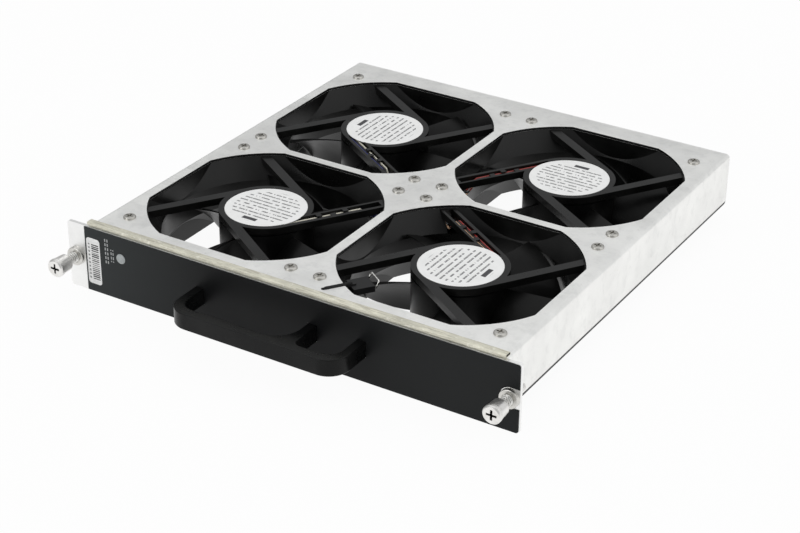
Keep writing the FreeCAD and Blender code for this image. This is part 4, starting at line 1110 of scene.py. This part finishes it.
@dataclass
class Gasket:
    """The hollow strip of conductive cloth on the front edge of the plate."""

    node: str = "emi_gasket"
    skin: float = 0.0005
    hollow_edge: float = 0.9
    squareness: float = 3.4
    base_squareness: float = 10.2
    crease: float = 0.00032
    coarse: tuple[int, float, float] = (40, 4.0, 34.0)
    fine: tuple[int, float, float] = (60, 40.0, 150.0)
    fine_share: float = 0.35
    lift_power: float = 0.6
    stations: int = 700
    ring: int = 44
    seed: int = 11

    def section(self, inset: float, low: np.ndarray, high: np.ndarray) -> np.ndarray:
        """A rounded box: a superellipse in Y and Z, its lower half pressed flat.

        Args:
            inset: How far inside the strip's box it lies.
            low: Lowest corner of the strip's box.
            high: Highest corner.

        Returns:
            Points round the section, Y and Z.
        """
        turn = np.linspace(0.0, 2.0 * np.pi, self.ring, endpoint=False)
        middle, half = (low[1:] + high[1:]) / 2, (high[1:] - low[1:]) / 2 - inset
        sharp = np.where(np.sin(turn) < 0.0, self.base_squareness, self.squareness)
        size = (np.abs(np.cos(turn)) ** sharp + np.abs(np.sin(turn)) ** sharp) ** (-1.0 / sharp)
        return middle + half * np.stack([size * np.cos(turn), size * np.sin(turn)], -1)

    def points(self, low: np.ndarray, high: np.ndarray) -> np.ndarray:
        """The outer skin from left to right and the inner skin back again, as one closed ring of sections.

        Each outer section is pressed towards its middle by a random field, more at the top than at the base.

        Args:
            low: Lowest corner of the strip's box.
            high: Highest corner.

        Returns:
            Rows of sections, each a ring of points.
        """
        along = np.linspace(0.0, 1.0, self.stations)
        around = np.linspace(0.0, 1.0, self.ring, endpoint=False)
        outer, inner = self.section(0.0, low, high), self.section(self.skin, low, high)
        middle = (low[1:] + high[1:]) / 2
        coarse = noise_field(along, around, self.seed, *self.coarse)
        fine = noise_field(along, around, self.seed + 1, *self.fine)
        push = self.crease * ((1.0 - self.fine_share) * coarse + self.fine_share * fine)
        lift = ramp(outer[:, 1] - low[2], high[2] - low[2]) ** self.lift_power
        reach = np.linalg.norm(outer - middle, axis=1)
        spread = 1.0 - push * (lift / reach)[None, :]
        skin = middle + (outer - middle)[None, :, :] * spread[:, :, None]
        rows = np.concatenate([skin, inner[None], inner[None]])
        x = np.concatenate([low[0] + (high[0] - low[0]) * along, [high[0], low[0]]])
        return np.concatenate([np.broadcast_to(x[:, None, None], (len(x), self.ring, 1)), rows], -1)

    def build(self) -> None:
        """Make the strip in the place of its CAD node."""
        low, high = box_of(self.node)
        item = grid_piece("gasket_strip", self.points(low, high)[:, ::-1], True)
        middle, half = (low + high) / 2, (high - low) / 2 - self.skin * self.hollow_edge
        cloth = replace(CLOTH, hollow_middle=tuple(middle), hollow_half=(float(half[1]), float(half[2])))
        settle(item, cloth, ROOT, self.node)


@dataclass
class FrontFilm:
    """The dark film on the face plate, cut out for the lamp, the handle's legs and the right ferrule."""

    node: str = "panel_overlay"
    edge: float = 0.00035
    corner: float = 0.0015
    lamp_gap: float = 0.00006
    lamp_points: int = 48
    leg_gap: float = 0.00015
    leg_w: float = 0.0052
    leg_round: float = 0.0006
    leg_points: int = 6
    short_loop: float = 0.024
    ferrule_gap: float = 0.0004
    ferrule_points: int = 40

    def slot_hole(self, left: float, low: float, high: float) -> np.ndarray:
        """The cut-out for one leg: a rectangle with a quarter circle at each corner, with the clock.

        Args:
            left: X of the leg's left side.
            low: Z of its lower side.
            high: Z of its upper side.

        Returns:
            The corners in X and Z.
        """
        gap, turn = self.leg_gap, self.leg_round
        x0, x1 = left - gap + turn, left + self.leg_w + gap - turn
        z0, z1 = low - gap + turn, high + gap - turn
        middles = ((x0, z1), (x1, z1), (x1, z0), (x0, z0))
        starts = (180.0, 90.0, 0.0, -90.0)
        return np.concatenate([arc(middle, turn, start, start - 90.0, self.leg_points)
                               for middle, start in zip(middles, starts)])

    def build(self) -> None:
        """Make the film in the place of its CAD node, up to the edge of the plate."""
        low, high = box_of(self.node)
        top = box_of("front_panel")[1, 2] - self.edge
        ferrule, lamp, grip = (box_of(name) for name in ("right_ferrule", "status_led", "handle"))
        seat = ferrule.mean(0)[[0, 2]]
        ring = np.ptp(ferrule[:, 0]) / 2 + self.ferrule_gap
        inner = high[0] - self.corner
        outline = np.concatenate([
            [(low[0], low[2])], arc((inner, low[2] + self.corner), self.corner, -90.0, 0.0),
            [(high[0], seat[1] - ring)], arc(seat, ring, 270.0, 90.0, self.ferrule_points),
            [(high[0], seat[1] + ring)], arc((inner, top - self.corner), self.corner, 0.0, 90.0),
            [(low[0], top)],
        ])
        right = grip[1, 0] - self.leg_w
        legs = (grip[0, 0], right - self.short_loop - self.leg_w, right)
        holes = [self.slot_hole(left, grip[0, 2], grip[1, 2]) for left in legs]
        lamp_hole = np.ptp(lamp[:, 0]) / 2 + self.lamp_gap
        holes.append(arc(lamp.mean(0)[[0, 2]], lamp_hole, 360.0, 0.0, self.lamp_points + 1)[:-1])
        item = plate_piece("front_film", outline, holes, low[1], high[1])
        settle(item, FILM, ROOT, self.node)


@dataclass
class LampLens:
    """The indicator's lens: a rod whose face is a shallow dome, flush with the film."""

    node: str = "status_led"
    dome: float = 0.00025
    edge: float = 0.0002
    edge_rows: int = 6
    face_from: float = 0.02
    face_rows: int = 12
    columns: int = 64

    def points(self, low: np.ndarray, high: np.ndarray) -> np.ndarray:
        """The rod's surface: from the middle of the face outwards and back along the side.

        The face falls off with the fourth power of the radius, and a quarter circle leads over to the side.

        Args:
            low: Lowest corner of the lamp's box.
            high: Highest corner.

        Returns:
            Rows of rings.
        """
        radius, length = (high[0] - low[0]) / 2, high[1] - low[1]
        inner = radius - self.edge
        flat = np.linspace(self.face_from, 1.0, self.face_rows) * inner
        bend = np.linspace(0.0, np.pi / 2, self.edge_rows)[1:]
        r = np.concatenate([flat, inner + self.edge * np.sin(bend), [radius, inner]])
        fall = self.dome * (flat / radius) ** 4
        rounded = fall[-1] + self.edge * (1.0 - np.cos(bend))
        depth = np.concatenate([fall, rounded, [length - self.edge, length]])
        turn = np.linspace(0.0, 2.0 * np.pi, self.columns, endpoint=False)[None, :]
        middle = (low + high) / 2
        return np.stack([middle[0] + r[:, None] * np.cos(turn),
                         np.broadcast_to(low[1] + depth[:, None], (len(r), self.columns)),
                         middle[2] + r[:, None] * np.sin(turn)], -1)

    def build(self) -> None:
        """Make the lens in the place of its CAD node."""
        item = grid_piece("lamp_lens", self.points(*box_of(self.node)), False)
        settle(item, LENS, ROOT, self.node)


@dataclass
class SensorLine:
    """The sensor's black line: on its holder's neck, along the plate's slot, down and back to the board."""

    node: str = "sensor_cable"
    solid_radius: float = 0.001
    radius: float = 0.00105
    ring: int = 20
    bend: float = 0.0016
    bend_points: int = 12
    height: float = 0.0394
    turn: float = 234.5
    reach: Pair = (0.0605, 0.0759)
    beside: Point = (1.0, -1.0, 1.0)

    def line(self, low: np.ndarray, high: np.ndarray) -> np.ndarray:
        """The route: straight runs, with a parabola of three control points round each corner.

        Args:
            low: Lowest corner of the solid line's box.
            high: Highest corner.

        Returns:
            Points along it.
        """
        way = np.array([math.cos(math.radians(self.turn)), math.sin(math.radians(self.turn))])
        first, last = (np.array(Fan.FRONT_RIGHT.middle) + out * way for out in self.reach)
        x, z = low[0] + self.solid_radius, low[2] + self.solid_radius
        upper = [(*first, self.height), (*last, self.height)]
        corners = np.array([*upper, (*last, z), (x, last[1], z), (x, high[1], z)])
        runs = np.diff(corners, axis=0)
        runs /= np.linalg.norm(runs, axis=1, keepdims=True)
        t = np.linspace(0.0, 1.0, self.bend_points)[None, :, None]
        before, after = (1.0 - t) ** 2 * self.bend, t ** 2 * self.bend
        bends = corners[1:-1, None] - before * runs[:-1, None] + after * runs[1:, None]
        return np.concatenate([corners[:1], bends.reshape(-1, 3), corners[-1:]])

    def build(self) -> None:
        """Make the line in the place of its CAD node."""
        rings = tube(self.line(*box_of(self.node)), np.array(self.beside), self.radius, self.ring)
        settle(grid_piece("sensor_line", rings, False), CABLE_BLACK, ROOT, self.node)


@dataclass
class CaptiveScrew:
    """A captive screw: knob, neck and thread in one turned piece, and the spring between knob and ferrule.

    The screw's sizes are in millimetres. The spring's flat turns rise by a number of wire radii.
    """

    side: Side
    knob: tuple[Pair, ...] = (
        (4.35, 0.0), (5.2, 0.85), (5.2, 2.5), (5.0, 2.7), (4.95, 3.3), (4.6, 9.3), (4.35, 9.6), (3.75, 9.6),
        (3.6, 9.45), (3.6, 6.5), (3.45, 6.3), (1.75, 6.3), (1.6, 6.45), (1.6, 22.3),
    )
    face_from: float = 0.06
    face_step: float = 0.14
    body_step: float = 0.9
    thread: Pair = (1.68, 2.1)
    thread_gap: float = 0.1
    thread_pitch: float = 0.7
    thread_rows: int = 91
    thread_ends: Pair = (0.35, 0.8)
    knurls: int = 36
    knurl: float = 0.12
    knurl_from: float = 5.1
    knurl_blur: float = 0.1
    cross: Point = (1.2, 5.9, 2.2)
    cross_side: float = 0.14
    cross_end: float = 0.5
    columns: int = 144
    turns: int = 8
    turn_points: int = 36
    flat_turns: float = 0.8
    flat_rise: float = 2.1
    ease: float = 0.04
    wire: float = 0.00028
    wire_ring: int = 12
    push: float = 0.0055

    def rows(self, corners: np.ndarray, step: float, soft: float = 0.05) -> np.ndarray:
        """Points along a profile at an even step, with two more close to each corner to keep it crisp.

        Args:
            corners: Radius and depth of the profile's corners.
            step: The step.
            soft: How far beside a corner the close points lie.

        Returns:
            Radius and depth of each point.
        """
        reach = np.concatenate([[0.0], np.cumsum(np.linalg.norm(np.diff(corners, axis=0), axis=1))])
        marks = np.concatenate([np.arange(0.0, reach[-1], step), reach[:-1] + soft, reach[1:] - soft, reach])
        marks = np.unique(np.clip(marks, 0.0, reach[-1]).round(4))
        return np.stack([np.interp(marks, reach, corners[:, side]) for side in (0, 1)], -1)

    def turned(self, axis: np.ndarray, face: float, length: float) -> np.ndarray:
        """The screw's surface: a profile of radius over depth, turned round the axis.

        Radius r and depth s follow the profile from the middle of the face outwards, back over the knob,
        into its cup and along neck and thread. The face sinks by a cross of two rounded bars, the knob's rim
        is cut by a cosine of the angle, and the thread is a triangle wave of the depth less the angle.

        Args:
            axis: X and Z of the axis.
            face: Y of the knob's face.
            length: Length from face to the thread's end, in millimetres.

        Returns:
            Rows of rings.
        """
        turn = np.linspace(0.0, 2.0 * np.pi, self.columns, endpoint=False)[None, :]
        face_ends = [(self.face_from, 0.0), (self.knob[0][0] - self.face_from, 0.0)]
        front = self.rows(np.array(face_ends), self.face_step)
        body = self.rows(np.array(self.knob), self.body_step)
        start = self.knob[-1][1] + self.thread_gap
        depths = np.linspace(start, length, self.thread_rows)
        screw = np.stack([np.full(self.thread_rows, self.thread[0]), depths], -1)
        profile = np.concatenate([front, body, screw])
        r, s = profile[:, :1], profile[:, 1:]
        wide, long, deep = self.cross
        x, z = np.abs(r * np.cos(turn)), np.abs(r * np.sin(turn))
        bars = [ramp((wide + self.cross_side) / 2 - a, self.cross_side) * ramp(long / 2 - b, self.cross_end)
                for a, b in ((x, z), (z, x))]
        sink = deep * np.maximum(*bars) * (np.arange(len(profile)) < len(front))[:, None]
        knurl = self.knurl * (0.5 + 0.5 * np.cos(self.knurls * turn))
        rim = ramp(r - self.knurl_from, self.knurl_blur) * knurl
        wave = (s - start) / self.thread_pitch - turn / (2.0 * np.pi)
        ridge = 1.0 - 2.0 * np.abs(wave - np.floor(wave) - 0.5)
        ends = ramp(length - s, self.thread_ends[1]) * ramp(s - start, self.thread_ends[0])
        radius = (r - rim + (self.thread[1] - self.thread[0]) * ridge * ends) * MM
        y = face + (s + sink) * MM
        return np.stack([axis[0] + radius * np.cos(turn), y, axis[1] + radius * np.sin(turn)], -1)

    def coil(self, axis: np.ndarray, radius: float, low: float, high: float) -> np.ndarray:
        """A tube on a helix whose last turn at each end lies flat: the height follows a sine-eased ramp.

        Args:
            axis: X and Z of the axis.
            radius: Radius of the wire's middle.
            low: Y of the outer end.
            high: Y of the inner end.

        Returns:
            Rows of rings along the wire.
        """
        t = np.linspace(0.0, 1.0, self.turns * self.turn_points + 1)
        flat = self.flat_turns / self.turns
        climb = ramp(t - flat, 1.0 - 2.0 * flat)
        rise = self.flat_rise * self.wire
        inset = self.wire + rise
        lift = (climb - self.ease * np.sin(2.0 * np.pi * climb)) * (high - low - 2.0 * inset) + inset
        lift += rise * (ramp(t, flat) - 1.0 + ramp(t - 1.0 + flat, flat))
        turn = 2.0 * np.pi * self.turns * t
        out = np.stack([np.cos(turn), np.zeros_like(t), np.sin(turn)], -1)
        line = np.stack([axis[0] + radius * out[:, 0], low + lift, axis[1] + radius * out[:, 2]], -1)
        return tube(line, out, self.wire, self.wire_ring)

    def build(self) -> None:
        """Make the screw and its spring in the places of their CAD nodes."""
        side = self.side.value
        low, high = box_of(side + "_captive_screw")
        axis = ((low + high) / 2)[[0, 2]]
        screw = grid_piece(side + "_knob", self.turned(axis, low[1], (high[1] - low[1]) / MM), False)
        nickel = replace(KNOB_NICKEL, recess=(float(axis[0]), float(low[1]), float(axis[1])))
        settle(screw, nickel, side + "_screw", side + "_captive_screw")
        first, last = box_of(side + "_spring")
        radius = (last[0] - first[0]) / 2 - self.wire
        spring = grid_piece(side + "_coil", self.coil(axis, radius, first[1], last[1]), False)
        settle(spring, SPRING_WIRE, side + "_plunger", side + "_spring")
        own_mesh(spring)


def main() -> None:
    """Load the frame, dress it, set the stage and log the new pieces' face counts."""
    logging.basicConfig(level=logging.INFO, format="%(name)s: %(message)s")
    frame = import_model()
    dressing = Dressing()
    dressing.add(SHEET, "tray_shell")
    dressing.add(PLATE, "front_panel")
    dressing.add(GRIP_BLACK, "handle")
    dressing.add(BUSH, "left_ferrule", "right_ferrule")
    dressing.add(ZINC, "fan_screws", "fan_nuts", "panel_rivets", "handle_screws")
    dressing.add(TAG, "asset_label")
    dressing.add(SOCKET_BLACK, "led_holder", "rear_connector", "lead_plug", "sensor_holder")
    dressing.add(BOARD, "control_board", "motor_boards")
    dressing.add(ZINC, "board_standoffs", "board_screws")
    dressing.add(NICKEL, "sensor_probe")
    dressing.add(RED_WIRE, "led_leads")
    dressing.add(MOTOR_STEEL, "bearings", "stators")
    dressing.add(COPPER, "windings")
    for fan in Fan:
        dressing.add_fan(fan)
    dressing.dress(frame["nodes"])
    Gasket().build()
    FrontFilm().build()
    LampLens().build()
    SensorLine().build()
    for side in Side:
        CaptiveScrew(side).build()
    Stage().build()


if __name__ == "__main__":
    main()
